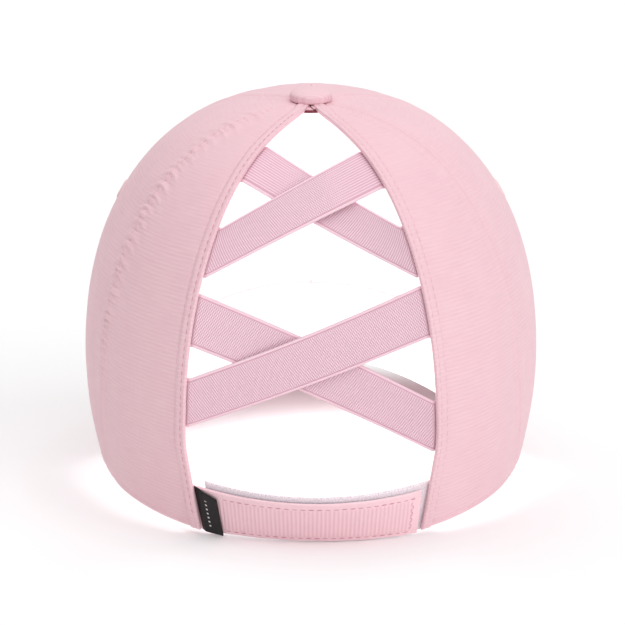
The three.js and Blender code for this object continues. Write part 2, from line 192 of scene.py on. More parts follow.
# The opening's edge: level, share of the opening's angle
OPENING_EDGE = [
    (-1.0, 0.935),
    (-0.55, 0.97),
    (-0.25, 1.0),
    (0.17, 0.975),
    (0.5, 0.914),
    (0.7, 0.835),
    (0.8, 0.74),
    (0.89, 0.585),
    (0.96, 0.34),
    (1.0, 0.12),
]


# %% Helpers for curves
def blend(start, end, share):
    """The value at a share of the way from start to end."""
    return start + (end - start) * share


def ease(value, low, high):
    """0 below low, 1 above high, with a soft start and end between."""
    share = np.clip((value - low) / (high - low), 0.0, 1.0)
    return share * share * (3 - 2 * share)


def read_table(rows, level):
    """A smooth curve through a table's rows, read at levels."""
    levels, shares = np.array(rows).T
    last = len(rows) - 1
    i = np.clip(np.searchsorted(levels, level, side="left") - 1, 0, last - 1)
    before, after = np.maximum(i - 1, 0), np.minimum(i + 2, last)
    width = levels[i + 1] - levels[i]
    start = (shares[i + 1] - shares[before]) / (levels[i + 1] - levels[before]) * width
    end = (shares[after] - shares[i]) / (levels[after] - levels[i]) * width
    step = shares[i + 1] - shares[i]
    t = (level - levels[i]) / width
    return shares[i] + start * t + (3 * step - 2 * start - end) * t**2 + (start + end - 2 * step) * t**3


# %% Seams and edges, as azimuths at a level
def opening_edge(level):
    """Where the opening ends."""
    return OPENING_ANGLE * read_table(OPENING_EDGE, level)


def side_seam(level):
    """The seam between a back and a side panel."""
    return blend(SIDE_SEAM_RIM, SIDE_SEAM_TOP, (level + 1) / 2)


def front_seam(level):
    """The seam between a side and a front panel."""
    return np.full_like(level, FRONT_SEAM)


def middle_seam(level):
    """The seam between the two front panels."""
    return np.full_like(level, math.pi)


# %% The crown's surface
SMALLEST_DOME = 1e-6
NORMAL_STEP = 0.004
HIGHEST_NORMAL = 0.998


def same_shape(azimuth, level):
    """Azimuths and levels as arrays of one shape."""
    return np.broadcast_arrays(np.asarray(azimuth, float), np.asarray(level, float))


def depth_at(azimuth):
    """The crown's half length on the side that the azimuth faces, signed as y is."""
    return np.where(np.cos(azimuth) > 0, -BACK_DEPTH, -FRONT_DEPTH)


def peak_height(x, y):
    """The peak bends round a line along Y that drops forwards. The rim follows it there."""
    drop = (y - FRONT_DEPTH * (1 - RIM_TAPER)) * math.tan(PEAK_DROP)
    return FRONT_RIM_RISE - drop - PEAK_ARCH * (x / PEAK_HALF_WIDTH) ** 2


def rim_height(azimuth):
    """The height of the rim's edge."""
    x = HALF_WIDTH * (1 - RIM_TAPER) * np.sin(azimuth)
    y = depth_at(azimuth) * (1 - RIM_TAPER) * np.cos(azimuth)
    side = SIDE_RIM_RISE * np.sin(azimuth) ** 2
    return blend(side, peak_height(x, y), ease(np.abs(azimuth), math.pi / 2, PEAK_END))


def fullness(azimuth):
    """How round the dome is: a smaller value is boxier."""
    end = np.where(np.cos(azimuth) > 0, BACK_FULLNESS, FRONT_FULLNESS)
    return blend(SIDE_FULLNESS, end, np.cos(azimuth) ** 2)


def seam_pull(azimuth, level):
    """How far a seam pulls the cloth in, as a share of its full dip."""
    pull = 0.0
    for seam in (side_seam, front_seam, middle_seam):
        away = np.abs(np.abs(azimuth) - seam(level)) / SEAM_DIP_ANGLE
        pull = np.maximum(pull, np.exp(-(away**2)))
    return pull


def crown_point(azimuth, level):
    """Points of the crown's outer face, in the cap's own frame."""
    azimuth, level = same_shape(azimuth, level)
    rise = np.maximum(level, 0) * math.pi / 2
    below = np.minimum(level, 0)
    dome = np.maximum(np.cos(rise), SMALLEST_DOME) ** fullness(azimuth)
    spread = np.where(level > 0, dome, 1 - RIM_TAPER * below**2)
    reach = spread - SEAM_DIP / HALF_WIDTH * seam_pull(azimuth, level) * np.minimum(1, spread)
    upper = blend(WAIST, HEIGHT, np.sin(rise))
    lower = blend(WAIST, rim_height(azimuth), -level)
    x = HALF_WIDTH * reach * np.sin(azimuth)
    y = depth_at(azimuth) * reach * np.cos(azimuth)
    return np.stack([x, y, np.where(level > 0, upper, lower)], axis=-1)


def crown_normal(azimuth, level):
    """Directions straight out of the crown."""
    step = NORMAL_STEP
    top = np.minimum(level + step, HIGHEST_NORMAL)
    along = crown_point(azimuth + step, level) - crown_point(azimuth - step, level)
    up = crown_point(azimuth, top) - crown_point(azimuth, top - 2 * step)
    out = np.cross(along, up)
    return out / np.linalg.norm(out, axis=-1, keepdims=True)


def off_crown(azimuth, level, distance):
    """Points at a distance outside the crown's outer face."""
    azimuth, level = same_shape(azimuth, level)
    out = crown_normal(azimuth, level)
    return crown_point(azimuth, level) + out * np.broadcast_to(distance, azimuth.shape)[..., None]


def angle_of(length, azimuth, level):
    """The azimuth that spans a length along the crown at a level."""
    step = 0.01
    run = crown_point(azimuth + step, level) - crown_point(azimuth, level)
    return length * step / np.linalg.norm(run, axis=-1)


def level_of_height(height, azimuth):
    """The level of a height below the widest level."""
    return (height - WAIST) / (WAIST - rim_height(azimuth))


def level_above_rim(height, azimuth):
    """The level at a height above the rim's edge."""
    return level_of_height(rim_height(azimuth) + height, azimuth)


def azimuth_of(turn):
    """The azimuth of a turn from the middle of the back, which may go on past the front."""
    return np.where(turn > math.pi, turn - math.tau, turn)


# %% How far up the cloth a level lies
METER_LEVELS = np.linspace(-1.0, 1.0, 401)
METER_AZIMUTH = math.radians(45)
meter_points = crown_point(METER_AZIMUTH, METER_LEVELS)
meter_steps = np.linalg.norm(np.diff(meter_points, axis=0), axis=-1)
METER_LENGTHS = np.concatenate([[0.0], np.cumsum(meter_steps)])


def cloth_height(level):
    """The length of cloth from the rim up to a level."""
    return np.interp(level, METER_LEVELS, METER_LENGTHS)


print("rim to button along the cloth, mm:", round(METER_LENGTHS[-1] / MM))

# %% [markdown]
# ## Finishes
# A cap is one colour of thread used in many weaves, so the materials differ in pattern more than in
# colour. Each weave is worked out from the piece's own UV map, which holds metres of cloth: across
# in U, along in V. A pattern then has its real pitch on every piece and bends with the cloth.

# %% Helpers for materials
ONE_WAVE = math.tau / 20


class Finish:
    """A material whose nodes are added one by one and read like a recipe."""

    def __init__(self, name, roughness, sheen=0.0):
        self.material = bpy.data.materials.new(name)
        self.material.use_nodes = True
        self.nodes = self.material.node_tree.nodes
        self.links = self.material.node_tree.links
        self.shader = self.nodes["Principled BSDF"]
        self.shader.inputs["Roughness"].default_value = roughness
        self.shader.inputs["Sheen Weight"].default_value = sheen
        self.shader.inputs["Specular IOR Level"].default_value = 0.3
        uv = self.nodes.new("ShaderNodeUVMap")
        uv.uv_map = "cloth"
        self.cloth = uv.outputs["UV"]

    def node(self, kind, **inputs):
        """A node of a kind, with inputs set to values or linked to other nodes' outputs."""
        made = self.nodes.new(kind)
        for name, value in inputs.items():
            self.put(made.inputs[name.replace("_", " ")], value)
        return made

    def put(self, socket, value):
        """Link a socket to an output, or set it to a value."""
        if isinstance(value, bpy.types.NodeSocket):
            self.links.new(value, socket)
        else:
            socket.default_value = value

    def math(self, operation, *values):
        """The result of one sum."""
        made = self.nodes.new("ShaderNodeMath")
        made.operation = operation
        for socket, value in zip(made.inputs, values):
            self.put(socket, value)
        return made.outputs[0]

    def plus(self, first, second):
        """Two values added."""
        return self.math("ADD", first, second)

    def times(self, first, second):
        """Two values multiplied."""
        return self.math("MULTIPLY", first, second)

    def rest(self, value):
        """What a value leaves up to 1."""
        return self.math("SUBTRACT", 1.0, value)

    def place(self):
        """How far across and along the cloth a point lies, in metres."""
        split = self.node("ShaderNodeSeparateXYZ", Vector=self.cloth)
        return split.outputs["X"], split.outputs["Y"]

    def scaled(self, across, along, vector=None):
        """The cloth's UV map in units of a width across and a length along."""
        scale = (1 / across, 1 / along, 1.0)
        return self.node("ShaderNodeMapping", Vector=vector or self.cloth, Scale=scale).outputs[0]

    def ribs(self, pitch, direction, wander=0.0, profile="SIN"):
        """Parallel ribs, 0 in the grooves and 1 on the ridges. Direction X changes along U."""
        wave = self.node(
            "ShaderNodeTexWave",
            Vector=self.scaled(pitch, pitch),
            Scale=ONE_WAVE,
            Distortion=wander,
            Detail=2.0,
            Detail_Scale=1.5,
        )
        wave.bands_direction = direction
        wave.wave_profile = profile
        return wave.outputs["Fac"]

    def noise(self, across, along, detail=3.0):
        """Soft random patches about as wide and long as said."""
        vector = self.scaled(across, along)
        made = self.node("ShaderNodeTexNoise", Vector=vector, Scale=1.0, Detail=detail)
        return made.outputs["Fac"]

    def mix(self, factor, first, second):
        """A colour between two colours."""
        made = self.nodes.new("ShaderNodeMix")
        made.data_type = "RGBA"
        self.put(made.inputs[0], factor)
        self.put(made.inputs[6], first)
        self.put(made.inputs[7], second)
        return made.outputs[2]

    def ramp(self, value, low, high):
        """0 below low and 1 above high."""
        made = self.nodes.new("ShaderNodeMapRange")
        made.interpolation_type = "SMOOTHSTEP"
        self.put(made.inputs["Value"], value)
        made.inputs["From Min"].default_value = low
        made.inputs["From Max"].default_value = high
        return made.outputs["Result"]

    def bump(self, height, distance, strength=1.0, normal=None):
        """A relief of a real depth in metres, on top of an earlier one if given."""
        made = self.node("ShaderNodeBump", Height=height, Distance=distance, Strength=strength)
        if normal is not None:
            self.put(made.inputs["Normal"], normal)
        return made.outputs["Normal"]

    def done(self, colour, normal=None):
        """Put the colour and the relief on the shader."""
        self.put(self.shader.inputs["Base Color"], colour)
        if normal is not None:
            self.put(self.shader.inputs["Normal"], normal)
        return self.material


def srgb(red, green, blue):
    """A colour as a screen shows it, from 0 to 255, in the linear values that shaders use."""
    shares = [value / 255 for value in (red, green, blue)]
    line = [s / 12.92 if s <= 0.04045 else ((s + 0.055) / 1.055) ** 2.4 for s in shares]
    return (*line, 1.0)


def grained(name, dark, light, grain, depth, roughness, sheen=0.0):
    """A finish whose one grain, as wide and long as said, gives both colour and relief."""
    made = Finish(name, roughness, sheen)
    tooth = made.noise(*grain)
    return made.done(made.mix(tooth, dark, light), made.bump(tooth, depth))


# %% [markdown]
# The panels are a light polyester with fine ribs that run round the cap. In the photograph four
# pixels hold one rib, which makes the pitch 1.5 mm. The grooves between the ribs are coloured a
# little darker, as painted shade. The yarns vary a little in thickness, so long thin noise goes
# over the ribs, fine threads cross them, and wide faint patches keep large areas from looking
# painted. Towards the top the ribs fade, in their relief and in their painted shade.

# %% Ribbed cloth
CLOTH_PINK = srgb(243, 206, 213)
CLOTH_DARK_YARN_AND_GROOVE_SHADE = srgb(229, 183, 194)
CLOTH_PALE = srgb(247, 214, 220)
RIB_PITCH = 1.5 * MM
THREAD_PITCH = 0.5 * MM
RIBS_CLEAR, RIBS_FAINT = 70 * MM, 150 * MM
YARN_GRAIN, PATCH_GRAIN, FADE_GRAIN = (9 * MM, 0.5 * MM), (22 * MM, 30 * MM), (14 * MM, 20 * MM)


def ribbed_cloth(name, depth=0.075 * MM):
    """Pink polyester with fine ribs that run along U."""
    cloth = Finish(name, roughness=0.62, sheen=0.12)
    ribs = cloth.ribs(RIB_PITCH, "Y", wander=0.5)
    threads = cloth.ribs(THREAD_PITCH, "X")
    yarns = cloth.noise(*YARN_GRAIN)
    patches = cloth.ramp(cloth.noise(*PATCH_GRAIN), 0.35, 0.75)
    strength = cloth.ramp(cloth.place()[1], RIBS_FAINT, RIBS_CLEAR)
    strength = cloth.times(strength, cloth.ramp(cloth.noise(*FADE_GRAIN), 0.1, 0.7))
    ribs = cloth.times(ribs, cloth.plus(strength, 0.15))
    height = cloth.plus(ribs, cloth.times(yarns, 0.9))
    height = cloth.plus(height, cloth.times(threads, 0.15))
    # Painted shade: the grooves between the ribs are coloured darker, mixed with the yarns' own uneven
    # colour.
    yarns_and_groove_shade = cloth.plus(cloth.times(ribs, 0.3), cloth.times(yarns, 0.9))
    shade = cloth.mix(yarns_and_groove_shade, CLOTH_DARK_YARN_AND_GROOVE_SHADE, CLOTH_PINK)
    shade = cloth.mix(cloth.times(patches, 0.15), shade, CLOTH_PALE)
    return cloth.done(shade, cloth.bump(height, depth))


panel_finish = ribbed_cloth("panel_cloth")

# %% [markdown]
# The inner side of a cap's cloth has a white backing that keeps the panels in shape. It is a soft
# non-woven cloth, so it is nearly white with a fine even tooth.

# %% White backing
BACKING_GRAIN = (0.6 * MM, 0.6 * MM)
backing_finish = grained(
    "white_backing", srgb(250, 246, 247), srgb(255, 253, 253), BACKING_GRAIN,
    depth=0.05 * MM, roughness=0.9,
)

# %% [markdown]
# ## Cloth as a wall
# Every strap, band and panel is a thin wall with two faces and closed edges. One way would be to
# thicken a finished sheet with a modifier. Here a flat grid is extruded once, while it is still a
# simple slab, and a formula then moves each point: where it lies across, up and through the cloth
# decides its place, so a hem can be thicker and an edge can be round.


# %% Meshes
def to_mesh(name, shape):
    """A finished shape as a mesh with soft shading."""
    for face in shape.faces:
        face.smooth = True
    mesh = bpy.data.meshes.new(name)
    shape.to_mesh(mesh)
    shape.free()
    return mesh


def read_points(mesh):
    """The mesh's points, a row for each."""
    flat = np.empty(len(mesh.vertices) * 3, np.float32)
    mesh.vertices.foreach_get("co", flat)
    return flat.reshape(-1, 3)


def put_points(mesh, points):
    """Move the mesh's points to places in the cap's own frame."""
    mesh.vertices.foreach_set("co", on_table(points).astype(np.float32).ravel())


def write_uv(mesh, cloth):
    """Store each point's place on the cloth, in metres, as the UV map."""
    corners = np.empty(len(mesh.loops), np.int32)
    mesh.loops.foreach_get("vertex_index", corners)
    layer = mesh.uv_layers.new(name="cloth")
    layer.uv.foreach_set("vector", cloth[corners].astype(np.float32).ravel())


# %% Walls from a grid
def faces_where(slab, test):
    """The faces whose middles pass a test of their shares across and up."""
    centres = np.array([face.calc_center_median() for face in slab.faces]) + 0.5
    return [face for face, chosen in zip(slab.faces, test(centres[:, 0], centres[:, 1])) if chosen]


def cloth_wall(name, columns, rows, place, hole=None, turned=None):
    """A closed slab of cloth. place() turns shares across, up and out into points and UVs.

    hole() says where the slab is cut through, and turned() where its edge is folded inwards, so
    that the outer cloth shows inside too.
    """
    slab = bmesh.new()
    bmesh.ops.create_grid(slab, x_segments=columns, y_segments=rows, size=0.5)
    if hole is not None:
        bmesh.ops.delete(slab, geom=faces_where(slab, hole), context="FACES")
    raised = bmesh.ops.extrude_face_region(slab, geom=slab.faces[:])["geom"]
    top = [item for item in raised if isinstance(item, bmesh.types.BMVert)]
    bmesh.ops.translate(slab, verts=top, vec=(0, 0, 1))
    bmesh.ops.recalc_face_normals(slab, faces=slab.faces[:])
    for face in slab.faces:
        face.material_index = int(face.normal.z < -0.5)
    if turned is not None:
        for face in faces_where(slab, turned):
            face.material_index = 0
    mesh = to_mesh(name, slab)
    across, up, out = read_points(mesh).T
    points, cloth = place(across + 0.5, up + 0.5, out)
    put_points(mesh, points)
    write_uv(mesh, cloth)
    return mesh


def add_piece(mesh, slot, *finishes):
    """Make a mesh a piece of the cap."""
    piece = add_object(mesh.name, mesh)
    for finish in finishes:
        mesh.materials.append(finish)
    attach(piece, "root")
    return piece


def dress(mesh, node, slot, *finishes):
    """Make a mesh a piece of the cap that stands for a node of the model."""
    piece = add_piece(mesh, slot, *finishes)
    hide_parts(node)
    low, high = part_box(node)
    points = read_points(mesh)
    off = max(np.abs(points.min(0) - low).max(), np.abs(points.max(0) - high).max())
    print(f"{mesh.name}: {len(mesh.polygons)} faces, {off / MM:.2f} mm off {node}'s box at most")
    return piece


def crowd(share, amount):
    """Shares from 0 to 1 that lie closer together at both ends."""
    return blend(share, (1 - np.cos(math.pi * share)) / 2, amount)


def edge_drop(distance, radius):
    """How far a round edge falls below the face, at a distance from the edge."""
    near = np.clip(1 - distance / radius, 0, 1)
    return radius * (1 - np.sqrt(1 - near**2))


def ridge(distance, middle, width):
    """A soft ridge, 1 at its middle and fading over its width."""
    return np.exp(-(((distance - middle) / width) ** 2))


# %% [markdown]
# ## The panels
# Six panels make the crown. Where two meet, the thread pulls the cloth in, and on the left side seam
# it is pulled so tight that the cloth stands up in short bent puckers, one every three millimetres.
# Beside every seam the spare cloth inside lifts the panel a little. The opening's edge is turned
# under: a hem 4.4 mm wide that stands a little proud. All of this is relief on the crown's formula,
# so the panels stay exactly where the model has them.

# %% Relief of hems and seams
HEM_WIDTH = 4.4 * MM
HEM_TURN = 8 * MM
HEM_RISE = 0.5 * MM
HEM_GROOVE, HEM_GROOVE_WIDTH = 0.3 * MM, 0.6 * MM
HEM_STEP_START, HEM_STEP_END = HEM_WIDTH - 0.8 * MM, HEM_WIDTH + 0.7 * MM
EDGE_STITCH = 1.7 * MM
EDGE_RADIUS = 0.4 * MM
PUCKER_PITCH = 3.1 * MM
PUCKER_REACH = 4.6 * MM
PUCKER_BEND = 0.055 / MM
TIGHT_PUCKER = 1.15 * MM
PUCKER_SKEW = 0.35
PUCKER_SHARPNESS = 0.8
STRONG_PUCKER, WEAK_PUCKER = 1.25, 0.55
LOOSE_PUCKER = 0.07 * MM
PUCKER_LOW, PUCKER_HIGH, PUCKER_FADE = 70 * MM, 165 * MM, 40 * MM
SEAM_STITCH = 1.8 * MM
SEAM_GROOVE = 0.12 * MM
SPARE_WIDTH = 5 * MM
SPARE_RISE = 0.2 * MM
RIM_HEM = 2.2 * MM
GROOVE_WIDTH = 0.45 * MM
HEM_STITCH = HEM_WIDTH + 0.3 * MM
SLACK_SLOW, SLACK_FINE = 0.16 * MM, 0.05 * MM


def puckers(height, distance, rise):
    """Short bent folds across a seam, at a height up the cloth and a distance from the seam.

    The skew makes each fold steep below and gentle above, as hanging cloth lies. Slow waves, whose
    lengths share no measure, make the folds' places, heights and reaches uneven.
    """
    turn = math.tau * (height + PUCKER_BEND * distance**2) / PUCKER_PITCH
    uneven = 1.3 * np.sin(turn / 7.3 + 1.0) + 0.9 * np.sin(turn / 3.1)
    phase = (turn + uneven) / 2
    crest = np.abs(np.sin(phase - PUCKER_SKEW * np.cos(2 * phase))) ** PUCKER_SHARPNESS
    strength = 0.75 + 0.25 * np.sin(turn / 2.45 + 2.0 * np.sin(turn / 9.7))
    higher = ease(height, PUCKER_LOW, PUCKER_HIGH)
    strength = strength * blend(STRONG_PUCKER, WEAK_PUCKER, higher)
    reach = PUCKER_REACH * (0.85 + 0.35 * np.sin(turn / 1.7))
    span = ease(height, PUCKER_LOW - PUCKER_FADE, PUCKER_LOW)
    span = span * (1 - ease(height, PUCKER_HIGH, PUCKER_HIGH + PUCKER_FADE / 2))
    return rise * span * strength * crest * np.exp(-((distance / reach) ** 2))


def seam_relief(height, distance, rise):
    """A seam's two ridges, the groove along each line of stitching, and the puckers."""
    spare = SPARE_RISE * (1 - ease(distance, SPARE_WIDTH - MM, SPARE_WIDTH + MM))
    groove = SEAM_GROOVE * ridge(distance, SEAM_STITCH, GROOVE_WIDTH)
    return spare - groove + puckers(height, distance, rise)


def slack(azimuth, height):
    """The slow unevenness of cloth that is held only at its seams."""
    slow = np.sin(azimuth * 9 + height / (17 * MM)) * np.sin(height / (23 * MM) - azimuth * 5)
    fine = np.sin(azimuth * 31 - height / (11 * MM)) * np.sin(height / (7 * MM) + azimuth * 13)
    return SLACK_SLOW * slow + SLACK_FINE * fine


def hem_relief(distance):
    """The turned edge of the opening: a proud band between two lines of stitching."""
    band = 1 - ease(distance, HEM_STEP_START, HEM_STEP_END)
    outer = ridge(distance, HEM_STITCH, HEM_GROOVE_WIDTH)
    inner = ridge(distance, EDGE_STITCH, GROOVE_WIDTH)
    return HEM_RISE * band - HEM_GROOVE * (outer + 0.7 * inner)


def seam_rise(side, seam):
    """How high the puckers stand on a seam of a side."""
    return TIGHT_PUCKER if side < 0 and seam is side_seam else LOOSE_PUCKER


# %% One panel
VISUAL_SEAM_GAP = 0.06 * MM
PANEL_HEIGHT = cloth_height(TOP_LEVEL)
CROWD_UP, CROWD_ACROSS = 0.35, 0.75
SLACK_START = 18 * MM
RIM_GROOVE, RIM_GROOVE_WIDTH = 0.12 * MM, 0.5 * MM


def panel_spots(near_seam, far_seam, side, across, up):
    """Height up the cloth, level, azimuth and the distances from both seams, for shares."""
    height = crowd(up, CROWD_UP) * PANEL_HEIGHT
    level = np.interp(height, METER_LENGTHS, METER_LEVELS)
    near, far = near_seam(level), far_seam(level)
    near = near + angle_of(VISUAL_SEAM_GAP / 2, near, level)
    far = far - angle_of(VISUAL_SEAM_GAP / 2, far, level)
    width = (far - near) / angle_of(1.0, (near + far) / 2, level)
    share = crowd(across if side > 0 else 1 - across, CROWD_ACROSS)
    return height, level, side * blend(near, far, share), share * width, (1 - share) * width


def panel_mesh(name, near_seam, far_seam, side, columns, rows, hole=None):
    """A panel between two seams, on the left (-1) or right (1) of the cap."""
    is_open = near_seam is opening_edge

    def place(across, up, out):
        spots = panel_spots(near_seam, far_seam, side, across, up)
        height, level, azimuth, from_near, from_far = spots
        radius = np.minimum(EDGE_RADIUS, (from_near + from_far) / 5)
        edge = np.minimum(np.minimum(from_near, from_far), height)
        drop = edge_drop(edge, radius)
        rise = slack(azimuth, height) * ease(edge, 0, SLACK_START)
        near_relief = seam_relief(height, from_near, seam_rise(side, near_seam))
        rise = rise + (hem_relief(from_near) if is_open else near_relief)
        rise = rise + seam_relief(height, from_far, seam_rise(side, far_seam))
        rise = rise - RIM_GROOVE * ridge(height, RIM_HEM, RIM_GROOVE_WIDTH)
        distance = np.where(out > 0.5, rise - drop, -CLOTH + drop)
        cloth = np.stack([side * (from_near - from_far) / 2, height], axis=-1)
        return off_crown(azimuth, level, distance), cloth

    def turned(across, up):
        return panel_spots(near_seam, far_seam, side, across, up)[3] < HEM_TURN

    return cloth_wall(name, columns, rows, place, hole, turned if is_open else None)


# %% [markdown]
# A side panel has a hole under its eyelet. The faces whose middles lie inside the hole are taken out
# of the flat grid before it becomes a wall, so the hole gets closed sides like every other edge.

# %% The six panels
EYELET_ANGLE = math.radians(93)
EYELET_LEVEL = 0.43
EYELET_RADIUS = 4.2 * MM
EYELET_HOLE_RADIUS = 1.7 * MM
EYELET_HEIGHT = 0.8 * MM
HOLE_MARGIN = 0.4 * MM
SIDES = (("left", -1), ("right", 1))

# The seams at both sides of each kind of panel, and its columns and rows of faces
PANELS = {
    "back": (opening_edge, side_seam, 68, 380),
    "side": (side_seam, front_seam, 72, 340),
    "front": (front_seam, middle_seam, 60, 150),
}


def eyelet_hole(side):
    """A test for the part of a side panel's grid that lies under the eyelet's hole."""

    def inside(across, up):
        level, azimuth = panel_spots(side_seam, front_seam, side, across, up)[1:3]
        middle = crown_point(side * EYELET_ANGLE, EYELET_LEVEL)
        away = np.linalg.norm(crown_point(azimuth, level) - middle, axis=-1)
        return away < EYELET_HOLE_RADIUS + HOLE_MARGIN

    return inside


for word, side in SIDES:
    for kind, (near_seam, far_seam, columns, rows) in PANELS.items():
        hole = eyelet_hole(side) if kind == "side" else None
        node = f"{kind}_panel_{word}"
        mesh = panel_mesh(f"{node}_cloth", near_seam, far_seam, side, columns, rows, hole)
        dress(mesh, node, "panel_cloth", panel_finish, backing_finish)

# %% [markdown]
# ## The elastics
# Four woven elastics cross over the opening in two pairs. Each is pulled nearly straight between two
# edges, and the one on top of a pair bows out over the one below. Their edges are woven without
# rubber: two smooth selvedges with a fine groove inside them. The body between them shows small
# floats in slanting rows. The upper two also show long ribs at one end, where they are pulled less.

# %% Woven elastic
ELASTIC_WIDTH = 17.5 * MM
SELVEDGE = 1.2 * MM
FLOAT_WIDTH, FLOAT_LENGTH = 1.3 * MM, 0.8 * MM
BAND_RIB_PITCH = 1.0 * MM
RIBS_START, RIBS_FULL = 10 * MM, 24 * MM
BODY_HALF = ELASTIC_WIDTH / 2 - SELVEDGE
BODY_CLEAR, BODY_END = BODY_HALF - 0.25 * MM, BODY_HALF + 0.1 * MM
LINE_PLACE, LINE_CLEAR, LINE_END = BODY_HALF + 0.05 * MM, 0.1 * MM, 0.35 * MM
ELASTIC_PINK = srgb(254, 222, 233)
ELASTIC_GROOVE_SHADE = srgb(208, 152, 173)
ELASTIC_EDGE = srgb(245, 210, 221)


def elastic_finish(name, ribbed_end):
    """Pink elastic. Its UV map runs across the band in U and along it in V.

    ribbed_end is the end that shows ribs: -1 for the left one, 1 for the right one, 0 for none.
    """
    band = Finish(name, roughness=0.5, sheen=0.08)
    across, along = band.place()

    def waves(value, pitch):
        return band.math("SINE", band.times(value, math.tau / pitch))

    off_middle = band.math("ABSOLUTE", across)
    body = band.rest(band.ramp(off_middle, BODY_CLEAR, BODY_END))
    floats = band.times(waves(across, FLOAT_WIDTH), waves(along, FLOAT_LENGTH))
    floats = band.ramp(floats, -0.55, 0.45)
    ribs = band.ramp(waves(across, BAND_RIB_PITCH), -1.0, 1.0)
    ribs = band.plus(band.times(ribs, 0.65), 0.1)
    relaxed = band.ramp(band.times(along, ribbed_end), RIBS_START, RIBS_FULL)
    weave = band.math("SUBTRACT", ribs, floats)
    weave = band.plus(floats, band.times(weave, relaxed))
    height = band.times(weave, body)
    # Painted shade: the hollows between the floats and ribs are coloured darker.
    gap_shade = band.times(band.rest(weave), body)
    # A thin line of painted shade along the groove inside each selvedge.
    line = band.math("ABSOLUTE", band.math("SUBTRACT", off_middle, LINE_PLACE))
    line = band.rest(band.ramp(line, LINE_CLEAR, LINE_END))
    shade = band.mix(body, ELASTIC_EDGE, ELASTIC_PINK)
    shade = band.mix(band.times(gap_shade, 0.85), shade, ELASTIC_GROOVE_SHADE)
    shade = band.mix(band.times(line, 0.8), shade, ELASTIC_GROOVE_SHADE)
    return band.done(shade, band.bump(height, distance=0.13 * MM))


# %% Where the elastics run
ELASTIC_THICKNESS = 1.2 * MM
ELASTIC_TUCK = 8 * MM
OVER_BOW = 2.4 * MM
TUCK_INSET = CLOTH + 0.6 * MM
TUCK_COLUMNS, FREE_COLUMNS = 2, 14
ELASTIC_COLUMNS = FREE_COLUMNS + 2 * TUCK_COLUMNS
LENGTH_STEPS = 12

# Name, level of the middle at the opening's left edge, at its right edge, whether it lies on top,
# how far it curves up, the end that shows ribs
ELASTICS = [
    ("elastic_upper_over", 0.413, 0.683, True, 1.0 * MM, 1),
    ("elastic_upper_under", 0.706, 0.415, False, -0.8 * MM, -1),
    ("elastic_lower_over", 0.017, 0.252, True, -0.5 * MM, 0),
    ("elastic_lower_under", 0.23, -0.14, False, 1.2 * MM, 0),
]


def edge_point(side, level, tucked):
    """A point inside a back panel's edge, or tucked in behind it by a length."""
    azimuth = opening_edge(level) + angle_of(tucked, opening_edge(level), level)
    return off_crown(side * azimuth, level, -TUCK_INSET - ELASTIC_THICKNESS / 2)


def level_up_edge(level, length):
    """The level at a length up the opening's edge from another level."""
    step = 0.01
    reached = np.full_like(length, level)
    for _ in range(LENGTH_STEPS):
        run = edge_point(1, reached + step, 0.0) - edge_point(1, reached - step, 0.0)
        reached = reached + length / LENGTH_STEPS * 2 * step / np.linalg.norm(run, axis=-1)
    return reached


def elastic_middle(left, right, over, curve):
    """A function from a column and a share up to the middle of the elastic's thickness."""
    chord = edge_point(1, right, 0.0) - edge_point(-1, left, 0.0)
    half = ELASTIC_WIDTH / 2 / math.cos(math.atan(chord[2] / chord[0]))

    def middle(column, up):
        from_left = TUCK_COLUMNS - column
        from_right = column - TUCK_COLUMNS - FREE_COLUMNS
        step = ELASTIC_TUCK / TUCK_COLUMNS
        above = half * (2 * up - 1)
        left_edge = edge_point(-1, level_up_edge(left, above), step * np.maximum(from_left, 0))
        right_edge = edge_point(1, level_up_edge(right, above), step * np.maximum(from_right, 0))
        share = np.clip(-from_left / FREE_COLUMNS, 0, 1)
        point = blend(left_edge, right_edge, share[..., None])
        bow = np.sin(math.pi * share)
        point[..., 1] -= OVER_BOW * bow * over
        point[..., 2] += curve * bow
        return point

    return middle, np.linalg.norm(chord)


# %% The four bands
BAND_EDGE_RADIUS = 0.5 * MM
BAND_GROOVE, BAND_GROOVE_WIDTH = 0.14 * MM, 0.22 * MM
BAND_BODY_RISE = 0.12 * MM
COLUMN_STEP = 0.4


def elastic_mesh(name, left, right, over, curve):
    """A band with thin selvedges and a slightly fuller body."""
    middle, chord = elastic_middle(left, right, over, curve)

    def place(across, up, out):
        column = across * ELASTIC_COLUMNS
        share = crowd(up, 0.5)
        half = np.full_like(share, 0.5)
        before = middle(np.maximum(column - COLUMN_STEP, 0), half)
        after = middle(np.minimum(column + COLUMN_STEP, ELASTIC_COLUMNS), half)
        rise = middle(column, np.ones_like(share)) - middle(column, np.zeros_like(share))
        normal = np.cross(after - before, rise)
        normal /= np.linalg.norm(normal, axis=-1, keepdims=True)
        edge = np.minimum(share, 1 - share) * ELASTIC_WIDTH
        groove = BAND_GROOVE * ridge(edge, SELVEDGE, BAND_GROOVE_WIDTH)
        body = ease(edge, SELVEDGE * 0.7, SELVEDGE * 1.3)
        thin = edge_drop(edge, BAND_EDGE_RADIUS) + groove + BAND_BODY_RISE * (1 - body)
        distance = (ELASTIC_THICKNESS / 2 - thin) * (2 * out - 1)
        along = (column / ELASTIC_COLUMNS - 0.5) * (chord + 2 * ELASTIC_TUCK)
        cloth = np.stack([(share - 0.5) * ELASTIC_WIDTH, along], axis=-1)
        return middle(column, share) + normal * distance[..., None], cloth

    mesh = cloth_wall(name, 144, 30, place)
    mesh["length"] = chord
    return mesh


